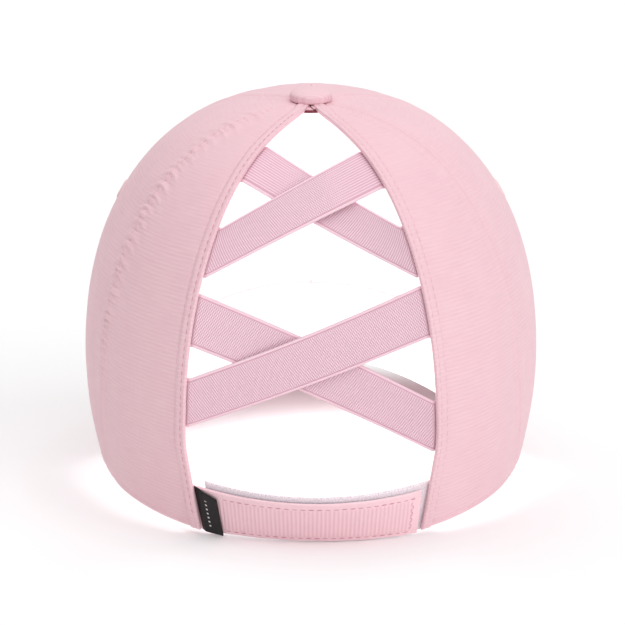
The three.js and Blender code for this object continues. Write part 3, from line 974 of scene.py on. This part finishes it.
elastic_finishes = {
    -1: elastic_finish("woven_elastic_left", -1),
    0: elastic_finish("woven_elastic", 0),
    1: elastic_finish("woven_elastic_right", 1),
}
for node, left, right, over, curve, ribbed_end in ELASTICS:
    mesh = elastic_mesh(f"{node}_band", left, right, over, curve)
    finish = elastic_finishes[ribbed_end]
    piece = dress(mesh, node, "elastic", finish, finish)

# %% [markdown]
# ## The closure
# A strap of the panels' cloth comes out of the left panel and closes over a pale loop tape from the
# right one. The strap's cloth is turned a quarter, so its ribs stand upright between the two rows
# of stitching. They are real relief here, because they are coarse enough to see in its outline.

# %% Closure cloth
STRAP_WIDTH = 18 * MM
TAPE_WIDTH = 20 * MM
STRAP_THICKNESS = 1.4 * MM
STRAP_TUCK = 7 * MM
STRAP_END_GAP = 1.6 * MM
STRAP_LEAN = 6 * MM
STRAP_LEAN_PIVOT = 6.3 * MM
TAPE_DEPTH = STRAP_THICKNESS + 0.3 * MM
EDGE_ANGLE = float(opening_edge(-1.0))
RIM_METER, EDGE_METER = float(angle_of(1.0, 0.0, -1.0)), float(angle_of(1.0, EDGE_ANGLE, -1.0))
STRAP_TUCK_ANGLE, STRAP_END_ANGLE = STRAP_TUCK * EDGE_METER, STRAP_END_GAP * EDGE_METER
HOOK_LENGTH = (2 * EDGE_ANGLE + STRAP_TUCK_ANGLE - STRAP_END_ANGLE) / RIM_METER
STRAP_RIB_PITCH = 1.5 * MM
STRAP_RIB_RISE = 0.14 * MM
STRAP_GROOVE, END_GROOVE_WIDTH = 0.16 * MM, 0.5 * MM
STRAP_WAVE, STRAP_WAVE_SPAN = 0.08 * MM, 2.1 * MM
STRAP_EDGE_RADIUS = 0.6 * MM
NAP_RISE = 0.05 * MM
TOP_STITCH, BOTTOM_STITCH, END_STITCH = 2.6 * MM, 1.5 * MM, 3.6 * MM


def strap_cloth():
    """The panels' cloth with painted shade between its upright ribs, inside the stitching only."""
    cloth = Finish("strap_cloth", roughness=0.6, sheen=0.12)
    along, up = cloth.place()
    yarns = cloth.noise(0.35 * MM, 3 * MM)
    ribs = cloth.ribs(STRAP_RIB_PITCH, "X")
    top, end = STRAP_WIDTH - TOP_STITCH, HOOK_LENGTH - END_STITCH
    above, below = cloth.ramp(up, BOTTOM_STITCH, BOTTOM_STITCH + MM), cloth.ramp(up, top, top - MM)
    inside = cloth.times(cloth.times(above, below), cloth.ramp(along, end, end - MM))
    # Painted shade: the hollows between the upright ribs are coloured darker.
    gap_shade = cloth.times(cloth.rest(ribs), inside)
    shade = cloth.mix(yarns, srgb(245, 201, 210), srgb(253, 219, 225))
    shade = cloth.mix(cloth.times(gap_shade, 0.4), shade, srgb(218, 164, 177))
    return cloth.done(shade, cloth.bump(yarns, distance=0.05 * MM))


def loop_tape():
    """A pale pile of uneven loops."""
    tape = Finish("loop_tape", roughness=0.95, sheen=0.5)
    nap = tape.noise(0.5 * MM, 0.5 * MM, detail=6.0)
    shade = tape.mix(tape.ramp(nap, 0.35, 0.65), srgb(226, 208, 217), srgb(250, 241, 245))
    return tape.done(shade, tape.bump(nap, distance=0.25 * MM))


strap_finish, tape_finish = strap_cloth(), loop_tape()


# %% Straps
def closure_point(azimuth, height, depth):
    """A point of the closure, which leans out at the top between the panels."""
    level = level_of_height(height, azimuth)
    inset = TUCK_INSET * (1 - ease(azimuth, -EDGE_ANGLE, EDGE_ANGLE))
    point = off_crown(azimuth, level, -inset - depth)
    free = np.maximum(0, np.cos(math.pi / 2 * azimuth / EDGE_ANGLE))
    point[..., 1] -= STRAP_LEAN * free * (height - STRAP_LEAN_PIVOT) / STRAP_WIDTH
    return point


def strap_mesh(name, start, end, width, depth, columns, rows, relief):
    """A strap between two azimuths. relief() raises its outer face."""
    length = (end - start) / RIM_METER

    def place(across, up, out):
        azimuth = blend(start, end, across)
        along, height = across * length, crowd(up, 0.5) * width
        edge = np.minimum(np.minimum(along, length - along), np.minimum(height, width - height))
        drop = edge_drop(edge, STRAP_EDGE_RADIUS)
        outer = depth + drop - relief(along, height, length) * out
        inner = depth + STRAP_THICKNESS - drop
        cloth = np.stack([along, height], axis=-1)
        return closure_point(azimuth, height, np.where(out > 0.5, outer, inner)), cloth

    return cloth_wall(name, columns, rows, place)


def hook_relief(along, height, length):
    """Upright ribs between the rows of stitching, and a groove along each row."""
    inside = ease(height, BOTTOM_STITCH, BOTTOM_STITCH + MM)
    inside = inside * ease(STRAP_WIDTH - height, TOP_STITCH, TOP_STITCH + MM)
    inside = inside * ease(length - along, END_STITCH, END_STITCH + MM)
    ribs = STRAP_RIB_RISE * np.abs(np.sin(math.pi * along / STRAP_RIB_PITCH))
    grooves = ridge(height, BOTTOM_STITCH, GROOVE_WIDTH)
    grooves = grooves + ridge(STRAP_WIDTH - height, TOP_STITCH, GROOVE_WIDTH)
    grooves = grooves + ridge(length - along, END_STITCH, END_GROOVE_WIDTH)
    wave = STRAP_WAVE * np.sin(along / STRAP_WAVE_SPAN) * (1 - inside)
    return inside * ribs - STRAP_GROOVE * grooves + wave


def nap_relief(along, height, length):
    """The uneven pile of the loop tape."""
    tufts = np.sin(along / (0.31 * MM)) * np.sin(height / (0.37 * MM) + along / (0.9 * MM))
    return NAP_RISE * tufts


hook_start, hook_end = -EDGE_ANGLE - STRAP_TUCK_ANGLE, EDGE_ANGLE - STRAP_END_ANGLE
tape_start, tape_end = -EDGE_ANGLE + STRAP_END_ANGLE, EDGE_ANGLE + STRAP_TUCK_ANGLE
hook = strap_mesh(
    "closure_strap_hook_cloth", hook_start, hook_end, STRAP_WIDTH, 0.0, 420, 36, hook_relief
)
dress(hook, "closure_strap_hook", "strap_cloth", strap_finish, tape_finish)
loop = strap_mesh(
    "closure_strap_loop_pile", tape_start, tape_end, TAPE_WIDTH, TAPE_DEPTH, 200, 44, nap_relief
)
dress(loop, "closure_strap_loop", "loop_tape", tape_finish, strap_finish)

# %% [markdown]
# ## The side tab
# The black tab beside the closure is woven in fine twill, with a plain row of pale dots up its
# middle.

# %% Woven tab
TAB_WIDTH, TAB_LENGTH, TAB_THICKNESS = 8.2 * MM, 18.5 * MM, 1.0 * MM

# Corners of the tab: along from the panel's edge, and the height above the strap's lower edge
TAB_LOW_LEFT, TAB_LOW_RIGHT = (0.2 * MM, 0.5 * MM), (9.3 * MM, -0.3 * MM)
TAB_HIGH_LEFT, TAB_HIGH_RIGHT = (-1.6 * MM, 18.6 * MM), (8.1 * MM, 15.2 * MM)

DOT_PITCH, DOT_RADIUS = 1.9 * MM, 0.42 * MM
DOTS_START, DOTS_FADE = 3.2 * MM, 0.1 * MM
TWILL_PITCH = 0.5 * MM
TAB_EDGE_RADIUS = 0.42 * MM
TAB_THIN, TAB_SEWN, TAB_FREE = 0.35 * MM, 0.2 * MM, 2.2 * MM
TAB_GAP_SEWN, TAB_GAP_FREE = 0.1 * MM, 0.3 * MM


def woven_tab():
    """Black twill with a row of pale dots up its middle."""
    tab = Finish("woven_tab", roughness=0.55)
    across, up = tab.place()
    twill = tab.math("SINE", tab.times(tab.plus(across, up), math.tau / TWILL_PITCH))
    cell = tab.math("WRAP", up, DOT_PITCH / 2, -DOT_PITCH / 2)
    middle = tab.math("SUBTRACT", across, TAB_WIDTH / 2)
    away = tab.nodes.new("ShaderNodeVectorMath")
    away.operation = "LENGTH"
    tab.put(away.inputs[0], tab.node("ShaderNodeCombineXYZ", X=middle, Y=cell).outputs["Vector"])
    dots = tab.ramp(away.outputs["Value"], DOT_RADIUS, DOT_RADIUS * 0.7)
    end = TAB_LENGTH - DOTS_START
    above = tab.ramp(up, DOTS_START, DOTS_START + DOTS_FADE)
    below = tab.ramp(up, end, end - DOTS_FADE)
    dots = tab.times(dots, tab.times(above, below))
    black = tab.mix(tab.ramp(twill, -1.0, 1.0), srgb(17, 15, 16), srgb(40, 35, 37))
    height = tab.plus(tab.times(twill, 0.5), dots)
    return tab.done(tab.mix(dots, black, srgb(232, 226, 226)), tab.bump(height, distance=0.06 * MM))


def tab_place(across, up, out):
    """The tab lies on the strap and slants down to the right.

    Its left side is sewn in under the panel's edge, so it is thin there.
    """
    across, up = crowd(across, 0.5), crowd(up, 0.5)
    low = blend(np.array(TAB_LOW_LEFT), np.array(TAB_LOW_RIGHT), across[..., None])
    high = blend(np.array(TAB_HIGH_LEFT), np.array(TAB_HIGH_RIGHT), across[..., None])
    along, height = np.moveaxis(blend(low, high, up[..., None]), -1, 0)
    azimuth = -EDGE_ANGLE + along * EDGE_METER
    free = ease(along, TAB_SEWN, TAB_FREE)
    gap, thickness = blend(TAB_GAP_SEWN, TAB_GAP_FREE, free), blend(TAB_THIN, TAB_THICKNESS, free)
    from_side = np.minimum(across, 1 - across) * TAB_WIDTH
    from_end = np.minimum(up, 1 - up) * TAB_LENGTH
    drop = edge_drop(np.minimum(from_side, from_end), TAB_EDGE_RADIUS) * thickness / TAB_THICKNESS
    depth = -gap - np.where(out > 0.5, thickness - drop, drop)
    cloth = np.stack([TAB_WIDTH * across, TAB_LENGTH * up], axis=-1)
    return closure_point(azimuth, height, depth), cloth


tab_finish = woven_tab()
dress(cloth_wall("side_label_tab", 36, 72, tab_place), "side_label", "label_weave", tab_finish, tab_finish)

# %% [markdown]
# ## The button
# The button is a metal disc with cloth drawn over it. A lathe gives the disc: half an outline is
# spun round its axis. The cloth is gathered underneath, so small pleats run up the side and die out
# towards the top. They are made by moving the spun points in and out.

# %% Covered button
BUTTON_RADIUS, BUTTON_HEIGHT, BUTTON_WALL = 8 * MM, 4.4 * MM, 2.2 * MM
BUTTON_STEPS, BUTTON_ROWS = 128, 22
BUTTON_PLEATS = 15
BUTTON_LIFT = 0.3 * MM
PLEAT_DEPTH, PLEAT_SHARE = 0.09 * MM, 0.01
PLEAT_FULL, PLEAT_START = 0.8 * MM, 0.2 * MM


def lathe(name, outline, steps, place):
    """Spin an outline of (radius, height) points round the Z axis, then let place() move it."""
    spun = bmesh.new()
    verts = [spun.verts.new((radius, 0.0, height)) for radius, height in outline]
    edges = [spun.edges.new(pair) for pair in zip(verts, verts[1:])]
    bmesh.ops.spin(
        spun, geom=verts + edges, axis=(0, 0, 1), cent=(0, 0, 0), angle=math.tau, steps=steps,
        use_merge=True,
    )
    bmesh.ops.remove_doubles(spun, verts=spun.verts[:], dist=1e-6)
    bmesh.ops.recalc_face_normals(spun, faces=spun.faces[:])
    mesh = to_mesh(name, spun)
    points = read_points(mesh).astype(float)
    write_uv(mesh, points[:, :2])
    put_points(mesh, place(points))
    return mesh


def button_outline():
    """The model's own outline: a foot, a short wall, a shoulder and a shallow dome."""
    turn = np.linspace(0, math.pi / 2, BUTTON_ROWS)
    radius = BUTTON_RADIUS * np.sin(turn) ** 0.85
    height = BUTTON_WALL + (BUTTON_HEIGHT - BUTTON_WALL) * np.cos(turn)
    wall = [(BUTTON_RADIUS, BUTTON_WALL * share) for share in (0.75, 0.5, 0.3)]
    foot = [(BUTTON_RADIUS * 0.97, 0.1 * BUTTON_WALL), (BUTTON_RADIUS * 0.92, 0.0), (0.0, 0.0)]
    return [*zip(radius, height), *wall, *foot]


def button_points(points):
    """Pleats on the wall that fade on the dome, and the button's place on the crown."""
    x, y, z = points.T
    turn = np.arctan2(y, x)
    low = 1 - ease(z, PLEAT_FULL, BUTTON_HEIGHT * 0.9)
    uneven = np.sin(BUTTON_PLEATS * turn + 1.1 * np.sin(3 * turn) + 0.7 * np.sin(5 * turn))
    near_rim = ease(np.hypot(x, y), BUTTON_RADIUS * 0.55, BUTTON_RADIUS * 0.95)
    pleat = near_rim * low * (1 + uneven)
    grow = 1 - PLEAT_SHARE * pleat
    sink = PLEAT_DEPTH * pleat * (z > PLEAT_START)
    return np.stack([x * grow, y * grow, z - sink + HEIGHT + BUTTON_LIFT], axis=-1)


button_finish = ribbed_cloth("button_cloth")
button = lathe("button_cover", button_outline(), BUTTON_STEPS, button_points)
dress(button, "button", "button_cloth", button_finish)

# %% [markdown]
# ## The eyelets
# An eyelet is a hole in the cloth with thread wound closely round its edge. The ring is a lathe too.
# Its threads are ridges that run over the ring from the hole to the outside.

# %% Stitched eyelets
EYELET_THREADS = 44
EYELET_STEPS = EYELET_THREADS * 4
EYELET_SINK = 0.4 * MM
THREAD_GRAIN = (0.3 * MM, 0.3 * MM)


def sewing_thread(name, dark, light):
    """Twisted polyester thread."""
    colours = srgb(*dark), srgb(*light)
    return grained(name, *colours, THREAD_GRAIN, depth=0.03 * MM, roughness=0.5, sheen=0.1)


pink_thread = sewing_thread("pink_thread", (236, 188, 198), (247, 211, 218))
eyelet_thread = sewing_thread("eyelet_thread", (238, 200, 207), (246, 211, 217))


def eyelet_outline():
    """A half round ring, closed underneath."""
    middle = (EYELET_RADIUS + EYELET_HOLE_RADIUS) / 2
    half = (EYELET_RADIUS - EYELET_HOLE_RADIUS) / 2
    turn = np.linspace(0, math.pi, 13)
    arc = [(middle + half * math.cos(t), EYELET_HEIGHT * math.sin(t) ** 0.8) for t in turn]
    return [*arc, arc[0]]


def eyelet_points(side):
    """The ring's ridges, turned to lie on the side panel."""
    azimuth, level = np.array(side * EYELET_ANGLE), np.array(EYELET_LEVEL)
    middle = off_crown(azimuth, level, -EYELET_SINK)
    turn = Vector((0, 0, 1)).rotation_difference(Vector(crown_normal(azimuth, level)))
    matrix = np.array(turn.to_matrix())

    def place(points):
        x, y, z = points.T
        lift = 1 + 0.07 * np.cos(EYELET_THREADS * np.arctan2(y, x))
        return np.stack([x, y, z * lift], axis=-1) @ matrix.T + middle

    return place


for word, side in SIDES:
    ring = lathe(f"eyelet_{word}_ring", eyelet_outline(), EYELET_STEPS, eyelet_points(side))
    dress(ring, f"eyelet_{word}", "eyelet_thread", eyelet_thread)

# %% [markdown]
# ## The peak
# Two covers of the panels' cloth are sewn over a stiff board. Rows of stitching follow the free
# edge inwards, and each row presses a shallow groove into both covers. The photograph hides the
# peak, so it has the plainest usual form: eight rows, 6.5 mm apart.

# %% Peak
PEAK_CLEARANCE = 0.4 * MM
PEAK_END_OVERHANG = 1.2 * MM
PEAK_SIDE_BEND, PEAK_FRONT_BEND, PEAK_END_BEND = 0.86, 0.8, 10
PEAK_ROWS = 8
PEAK_ROW_PITCH = 6.5 * MM
PEAK_ROW_GROOVE = 0.22 * MM
PEAK_EDGE_RADIUS = 1.4 * MM
PEAK_GROOVE_WIDTH = 0.6 * MM
PEAK_NARROW, PEAK_WIDE = 6 * MM, 20 * MM
PEAK_END_SPAN, PEAK_UV_SPAN = 200 * MM, 230 * MM


def peak_edge(across):
    """The free edge: a boxy half oval whose ends are drawn in to the rim."""
    rim_front = FRONT_DEPTH * (1 - RIM_TAPER)
    end_x = HALF_WIDTH * (1 - RIM_TAPER) * math.sin(PEAK_END)
    end_y = -rim_front * math.cos(PEAK_END) + PEAK_THICKNESS
    turn = (across - 0.5) * math.pi
    sine, cosine = np.abs(np.sin(turn)), np.maximum(np.abs(np.cos(turn)), 1e-9)
    drawn_in = (PEAK_HALF_WIDTH - end_x - PEAK_END_OVERHANG) * sine**PEAK_END_BEND
    x = (PEAK_HALF_WIDTH - drawn_in) * np.sign(turn) * sine**PEAK_SIDE_BEND
    return x, end_y + (rim_front + PEAK_LENGTH - end_y) * cosine**PEAK_FRONT_BEND


def peak_point(across, forward, above):
    """A point of the peak: along the rim, forward from it, and up through the peak in metres."""
    azimuth = azimuth_of(math.pi + (0.5 - across) * 2 * (math.pi - PEAK_END))
    rim = off_crown(azimuth, level_above_rim(above, azimuth), PEAK_CLEARANCE)
    edge_x, edge_y = peak_edge(across)
    x, y = blend(rim[..., 0], edge_x, forward), blend(rim[..., 1], edge_y, forward)
    rim_error = rim_height(azimuth) - peak_height(rim[..., 0], rim[..., 1])
    return np.stack([x, y, peak_height(x, y) + rim_error * (1 - forward) + above], axis=-1)


def peak_reach(across):
    """The length of the peak from the rim to its free edge."""
    none = np.zeros_like(across)
    run = peak_point(across, none + 1, none) - peak_point(across, none, none)
    return np.linalg.norm(run, axis=-1)


def peak_place(across, forward, above):
    """The peak with its rows of stitching pressed in and its edge rounded."""
    across, forward = crowd(across, 0.25), 1 - (1 - forward) ** 1.25
    reach = peak_reach(across)
    from_edge = (1 - forward) * reach
    from_end = np.minimum(across, 1 - across) * PEAK_END_SPAN
    groove = 0.0
    for row in range(PEAK_ROWS):
        groove = groove + ridge(from_edge, (row + 1) * PEAK_ROW_PITCH, PEAK_GROOVE_WIDTH)
    pressed = edge_drop(np.minimum(from_edge, from_end), PEAK_EDGE_RADIUS)
    pressed = pressed + PEAK_ROW_GROOVE * groove * ease(reach, PEAK_NARROW, PEAK_WIDE)
    height = np.where(above > 0.5, PEAK_THICKNESS - pressed, pressed)
    cloth = np.stack([(across - 0.5) * PEAK_UV_SPAN, -from_edge], axis=-1)
    return peak_point(across, forward, height), cloth


peak_finish = ribbed_cloth("peak_cloth")
peak = cloth_wall("peak_covers", 220, 110, peak_place)
dress(peak, "peak", "peak_cloth", peak_finish, peak_finish)

# %% [markdown]
# ## The sweatband
# A soft tape runs round inside the rim. It is folded at the bottom and its free upper edge is
# turned; near both edges a row of stitching and the fold press shallow grooves into its inner face.

# %% Sweatband
SWEATBAND_WIDTH, SWEATBAND_THICKNESS, RIM_INSET = 30 * MM, 1.2 * MM, 1.0 * MM
SWEATBAND_START = OPENING_ANGLE + (STRAP_TUCK + 2 * STRAP_END_GAP) / HALF_WIDTH

SWEATBAND_SPAN, SWEATBAND_EDGE_RADIUS = 470 * MM, 0.5 * MM
SWEATBAND_STITCH, SWEATBAND_GROOVE = 3.2 * MM, 0.18 * MM
SWEATBAND_FOLD = 4.4 * MM
SWEATBAND_GRAIN = (0.7 * MM, 0.7 * MM)
soft_finish = grained(
    "sweatband_cloth", srgb(244, 236, 238), srgb(252, 248, 249), SWEATBAND_GRAIN,
    depth=0.1 * MM, roughness=0.85, sheen=0.4,
)


def sweatband_place(across, up, out):
    """The tape's place inside the rim. Its wearer's side faces inwards."""
    azimuth = azimuth_of(blend(SWEATBAND_START, math.tau - SWEATBAND_START, across))
    share = crowd(up, 0.5)
    edge = np.minimum(share, 1 - share) * SWEATBAND_WIDTH
    drop = edge_drop(edge, SWEATBAND_EDGE_RADIUS)
    seam = ridge(edge, SWEATBAND_STITCH, 0.5 * MM) + 0.5 * ridge(edge, SWEATBAND_FOLD, 0.4 * MM)
    inner = SWEATBAND_THICKNESS - drop - SWEATBAND_GROOVE * seam
    inset = TUCK_INSET + np.where(out > 0.5, drop, inner)
    cloth = np.stack([(across - 0.5) * SWEATBAND_SPAN, share * SWEATBAND_WIDTH], axis=-1)
    level = level_above_rim(RIM_INSET + SWEATBAND_WIDTH * share, azimuth)
    return off_crown(azimuth, level, -inset), cloth


sweatband = cloth_wall("sweatband_tape", 360, 26, sweatband_place)
dress(sweatband, "sweatband", "sweatband_cloth", soft_finish, soft_finish)

# %% [markdown]
# ## The top of the opening
# Under the button the two hems cross, the right one over the left. Three scraps of cloth make this:
# two that close the gap between the hems up to a narrow slit, and a dark red sheet behind them,
# which shows through the slit and below it. That sheet is painted shade: it stands for the shaded
# inside of the crown.

# %% Crossed hems and the painted shade behind them
APEX_TOP, APEX_LOW, SHADE_SHEET_LOW = 0.992, 0.961, 0.952
SLIT_WIDTH = 0.3 * MM
SLIT_SHARE_TOP, SLIT_SHARE_LOW = 0.1, 0.78

SCRAP_THICKNESS = 0.5 * MM
SCRAP_FACES = 12
SCRAP_WIDTH, SCRAP_HEIGHT = 5 * MM, 8 * MM
SHADE_SHEET_GRAIN = (0.3 * MM, 0.6 * MM)
# Painted shade: a dark red sheet coloured as the shaded inside of the crown.
shade_sheet_finish = grained(
    "apex_painted_shade", srgb(96, 28, 40), srgb(142, 52, 66), SHADE_SHEET_GRAIN, depth=0.1 * MM, roughness=0.6
)

# Name, lowest level, where it starts and ends as shares of the opening's width (None is the
# slit), depth behind the crown's face, finish
APEX_SCRAPS = [
    ("hem_end_left", APEX_LOW, -0.04, None, 0.5 * MM, panel_finish),
    ("hem_end_right", APEX_LOW, None, 1.04, 0.1 * MM, panel_finish),
    ("apex_shade_sheet", SHADE_SHEET_LOW, -0.1, 1.1, 0.8 * MM, shade_sheet_finish),
]


def apex_mesh(name, low, start, end, inset):
    """A scrap of cloth from a level up to the button."""

    def place(across, up, out):
        level = blend(low, APEX_TOP, up)
        edge = opening_edge(level)
        slit = SLIT_WIDTH / 2 * angle_of(1.0, 0.0, level) / (2 * edge)
        middle = blend(SLIT_SHARE_LOW, SLIT_SHARE_TOP, (level - APEX_LOW) / (APEX_TOP - APEX_LOW))
        first = middle + slit if start is None else start
        last = middle - slit if end is None else end
        share = blend(first, last, across)
        distance = -inset - SCRAP_THICKNESS * (1 - out)
        cloth = np.stack([share * SCRAP_WIDTH, up * SCRAP_HEIGHT], axis=-1)
        return off_crown(blend(-edge, edge, share), level, distance), cloth

    return cloth_wall(name, SCRAP_FACES, SCRAP_FACES, place)


for name, low, start, end, inset, finish in APEX_SCRAPS:
    add_piece(apex_mesh(name, low, start, end, inset), "panel_cloth", finish, finish)

# %% [markdown]
# ## The stitches
# Stitches are what the eye measures a cap by, so each one is real: a grain of thread 2 mm long that
# lies in its groove. A row is a line on the cloth and the same line a millimetre further out, which
# together say where each stitch lies and which way is up. A stretched sphere of 24 faces is enough.
# Each row is sewn in a small mesh of its own, because operators slow down as a mesh grows.

# %% Sewing
STITCH_PITCH = 3.0 * MM
STITCH_SIZE = (0.46 * MM, 0.30 * MM, 2.1 * MM)
HEM_ROW_END = 14 * MM
RIM_STITCH_SINK = 0.05 * MM

# Rose thread: a deeper pink thread on the strap; on the left hem its darkness is also painted shade of the
# stitch holes.
rose_thread_and_hole_shade = sewing_thread("rose_thread_and_hole_shade", (202, 138, 154), (222, 164, 178))
faint_thread = sewing_thread("faint_thread", (222, 172, 183), (238, 196, 206))
white_thread = sewing_thread("white_thread", (240, 232, 234), (250, 246, 247))


def at_length(points, lengths, where):
    """The point of a line at a length along it."""
    return Vector([np.interp(where, lengths, column) for column in points.T])


def sew(name, slot, thread, rows, size=STITCH_SIZE, pitch=STITCH_PITCH):
    """Stitches of a width, height and length along rows, each a line on the cloth and one above."""
    sewn = bmesh.new()
    row_mesh = bpy.data.meshes.new(f"{name}_row")
    count = 0
    for line, raised in rows:
        line, raised = on_table(line), on_table(raised)
        steps = np.linalg.norm(np.diff(line, axis=0), axis=-1)
        lengths = np.concatenate([[0.0], np.cumsum(steps)])
        row = bmesh.new()
        for where in np.arange(pitch / 2, lengths[-1], pitch):
            middle = at_length(line, lengths, where)
            ahead = at_length(line, lengths, where + size[2] / 2)
            along = (ahead - at_length(line, lengths, where - size[2] / 2)).normalized()
            side = along.cross(at_length(raised, lengths, where) - middle).normalized()
            axes = (side * size[0] / 2, along.cross(side) * size[1] / 2, along * size[2] / 2)
            turn = Matrix(axes).transposed().to_4x4()
            turn.translation = middle
            bmesh.ops.create_uvsphere(row, u_segments=6, v_segments=4, radius=1.0, matrix=turn)
            count += 1
        row.to_mesh(row_mesh)
        row.free()
        sewn.from_mesh(row_mesh)
    bpy.data.meshes.remove(row_mesh)
    mesh = to_mesh(name, sewn)
    write_uv(mesh, read_points(mesh)[:, [0, 2]])
    add_piece(mesh, slot, thread)
    print(f"{name}: {count} stitches")


# %% Rows on the crown
def crown_row(seam, side, distance, relief, low=6 * MM, high=9 * MM):
    """A row beside a seam, from low above the rim to high below the top."""
    height = np.arange(low, PANEL_HEIGHT - high, MM)
    level = np.interp(height, METER_LENGTHS, METER_LEVELS)
    azimuth = side * (seam(level) + angle_of(distance, seam(level), level))
    lift = relief(height)
    return [off_crown(azimuth, level, lift + more) for more in (0.0, MM)]


def rim_row(side):
    """The row that holds the sweatband, from the opening to the peak."""
    azimuth = side * np.linspace(EDGE_ANGLE + 0.05, PEAK_END, 200)
    level = level_above_rim(RIM_HEM, azimuth)
    return [off_crown(azimuth, level, more - RIM_STITCH_SINK) for more in (0.0, MM)]


def inner_row(height, lift):
    """A row on the sweatband's inner face."""
    start = SWEATBAND_START + 0.03
    azimuth = azimuth_of(np.linspace(start, math.tau - start, 400))
    level = level_above_rim(RIM_INSET + height, azimuth)
    inset = TUCK_INSET + SWEATBAND_THICKNESS
    return [off_crown(azimuth, level, lift - inset - more) for more in (0.0, MM)]


def hem_row(side, distance):
    """A row along the opening's hem."""
    lift = hem_relief(distance)
    return crown_row(opening_edge, side, distance, lambda height: lift, high=HEM_ROW_END)


def seam_row(side, seam, offset):
    """A row along one side of a seam."""
    rise = seam_rise(side, seam)
    return crown_row(seam, side, offset, lambda height: seam_relief(height, SEAM_STITCH, rise))


SEAM_ROWS = [
    (side_seam, -SEAM_STITCH),
    (side_seam, SEAM_STITCH),
    (front_seam, -SEAM_STITCH),
    (front_seam, SEAM_STITCH),
    (middle_seam, -SEAM_STITCH),
]
seam_rows = [seam_row(side, seam, offset) for side in (-1, 1) for seam, offset in SEAM_ROWS]
hem_rows = [hem_row(side, HEM_STITCH) for side in (-1, 1)]
# The left hem's edge row takes the darker rose thread and the right one the faint thread: the darker
# dashes are painted shade of the stitch holes, on the shaded left side.
sew("hem_edge_stitches_left", "panel_cloth", rose_thread_and_hole_shade, [hem_row(-1, EDGE_STITCH)])
sew("hem_edge_stitches_right", "panel_cloth", faint_thread, [hem_row(1, EDGE_STITCH)])
sew("hem_inner_stitches", "panel_cloth", faint_thread, hem_rows)
sew("seam_stitches", "panel_cloth", pink_thread, seam_rows)
sew("rim_stitches", "panel_cloth", pink_thread, [rim_row(-1), rim_row(1)])
inner_rows = [inner_row(SWEATBAND_STITCH, SWEATBAND_GROOVE)]
sew("sweatband_stitches", "sweatband_cloth", white_thread, inner_rows)


# %% Rows on the peak and the closure
def peak_row(row, base, outwards):
    """A row of the peak that follows its free edge, on its upper or lower cover."""
    across = np.linspace(0.005, 0.995, 400)
    inwards = (row + 1) * PEAK_ROW_PITCH
    across = across[peak_reach(across) > inwards + 3 * MM]
    forward = 1 - inwards / peak_reach(across)
    return [peak_point(across, forward, base + outwards * (more - PEAK_ROW_GROOVE)) for more in (0.0, MM)]


def strap_row(along, height, depth=0.1 * MM):
    """A row on the hook strap, at lengths along it and heights up it."""
    azimuth = blend(hook_start, hook_end, along / HOOK_LENGTH)
    return [closure_point(azimuth, height, depth - more) for more in (0.0, MM)]


peak_rows = [
    peak_row(row, base, outwards)
    for row in range(PEAK_ROWS)
    for base, outwards in ((PEAK_THICKNESS, 1), (0.0, -1))
]
sew("peak_stitches", "peak_cloth", pink_thread, peak_rows)

strap_along = np.linspace(STRAP_TUCK + 9 * MM, HOOK_LENGTH - END_STITCH + MM, 200)
strap_rows = [
    strap_row(strap_along, np.full_like(strap_along, STRAP_WIDTH - TOP_STITCH)),
    strap_row(strap_along, np.full_like(strap_along, BOTTOM_STITCH)),
]
sew("strap_stitches", "strap_cloth", rose_thread_and_hole_shade, strap_rows)

ZIGZAG_STEPS, ZIGZAG_WIDTH = 9, 1.1 * MM
ZIGZAG_THREAD = (0.4 * MM, 0.3 * MM)
zigzag_height = np.linspace(BOTTOM_STITCH + MM, STRAP_WIDTH - TOP_STITCH - MM, ZIGZAG_STEPS + 1)
zigzag_along = HOOK_LENGTH - END_STITCH + ZIGZAG_WIDTH * (np.arange(ZIGZAG_STEPS + 1) % 2 - 0.5)
zigzag_length = math.hypot(ZIGZAG_WIDTH, zigzag_height[1] - zigzag_height[0])
sew(
    "strap_zigzag", "strap_cloth", rose_thread_and_hole_shade, [strap_row(zigzag_along, zigzag_height)],
    size=(*ZIGZAG_THREAD, zigzag_length), pitch=zigzag_length,
)
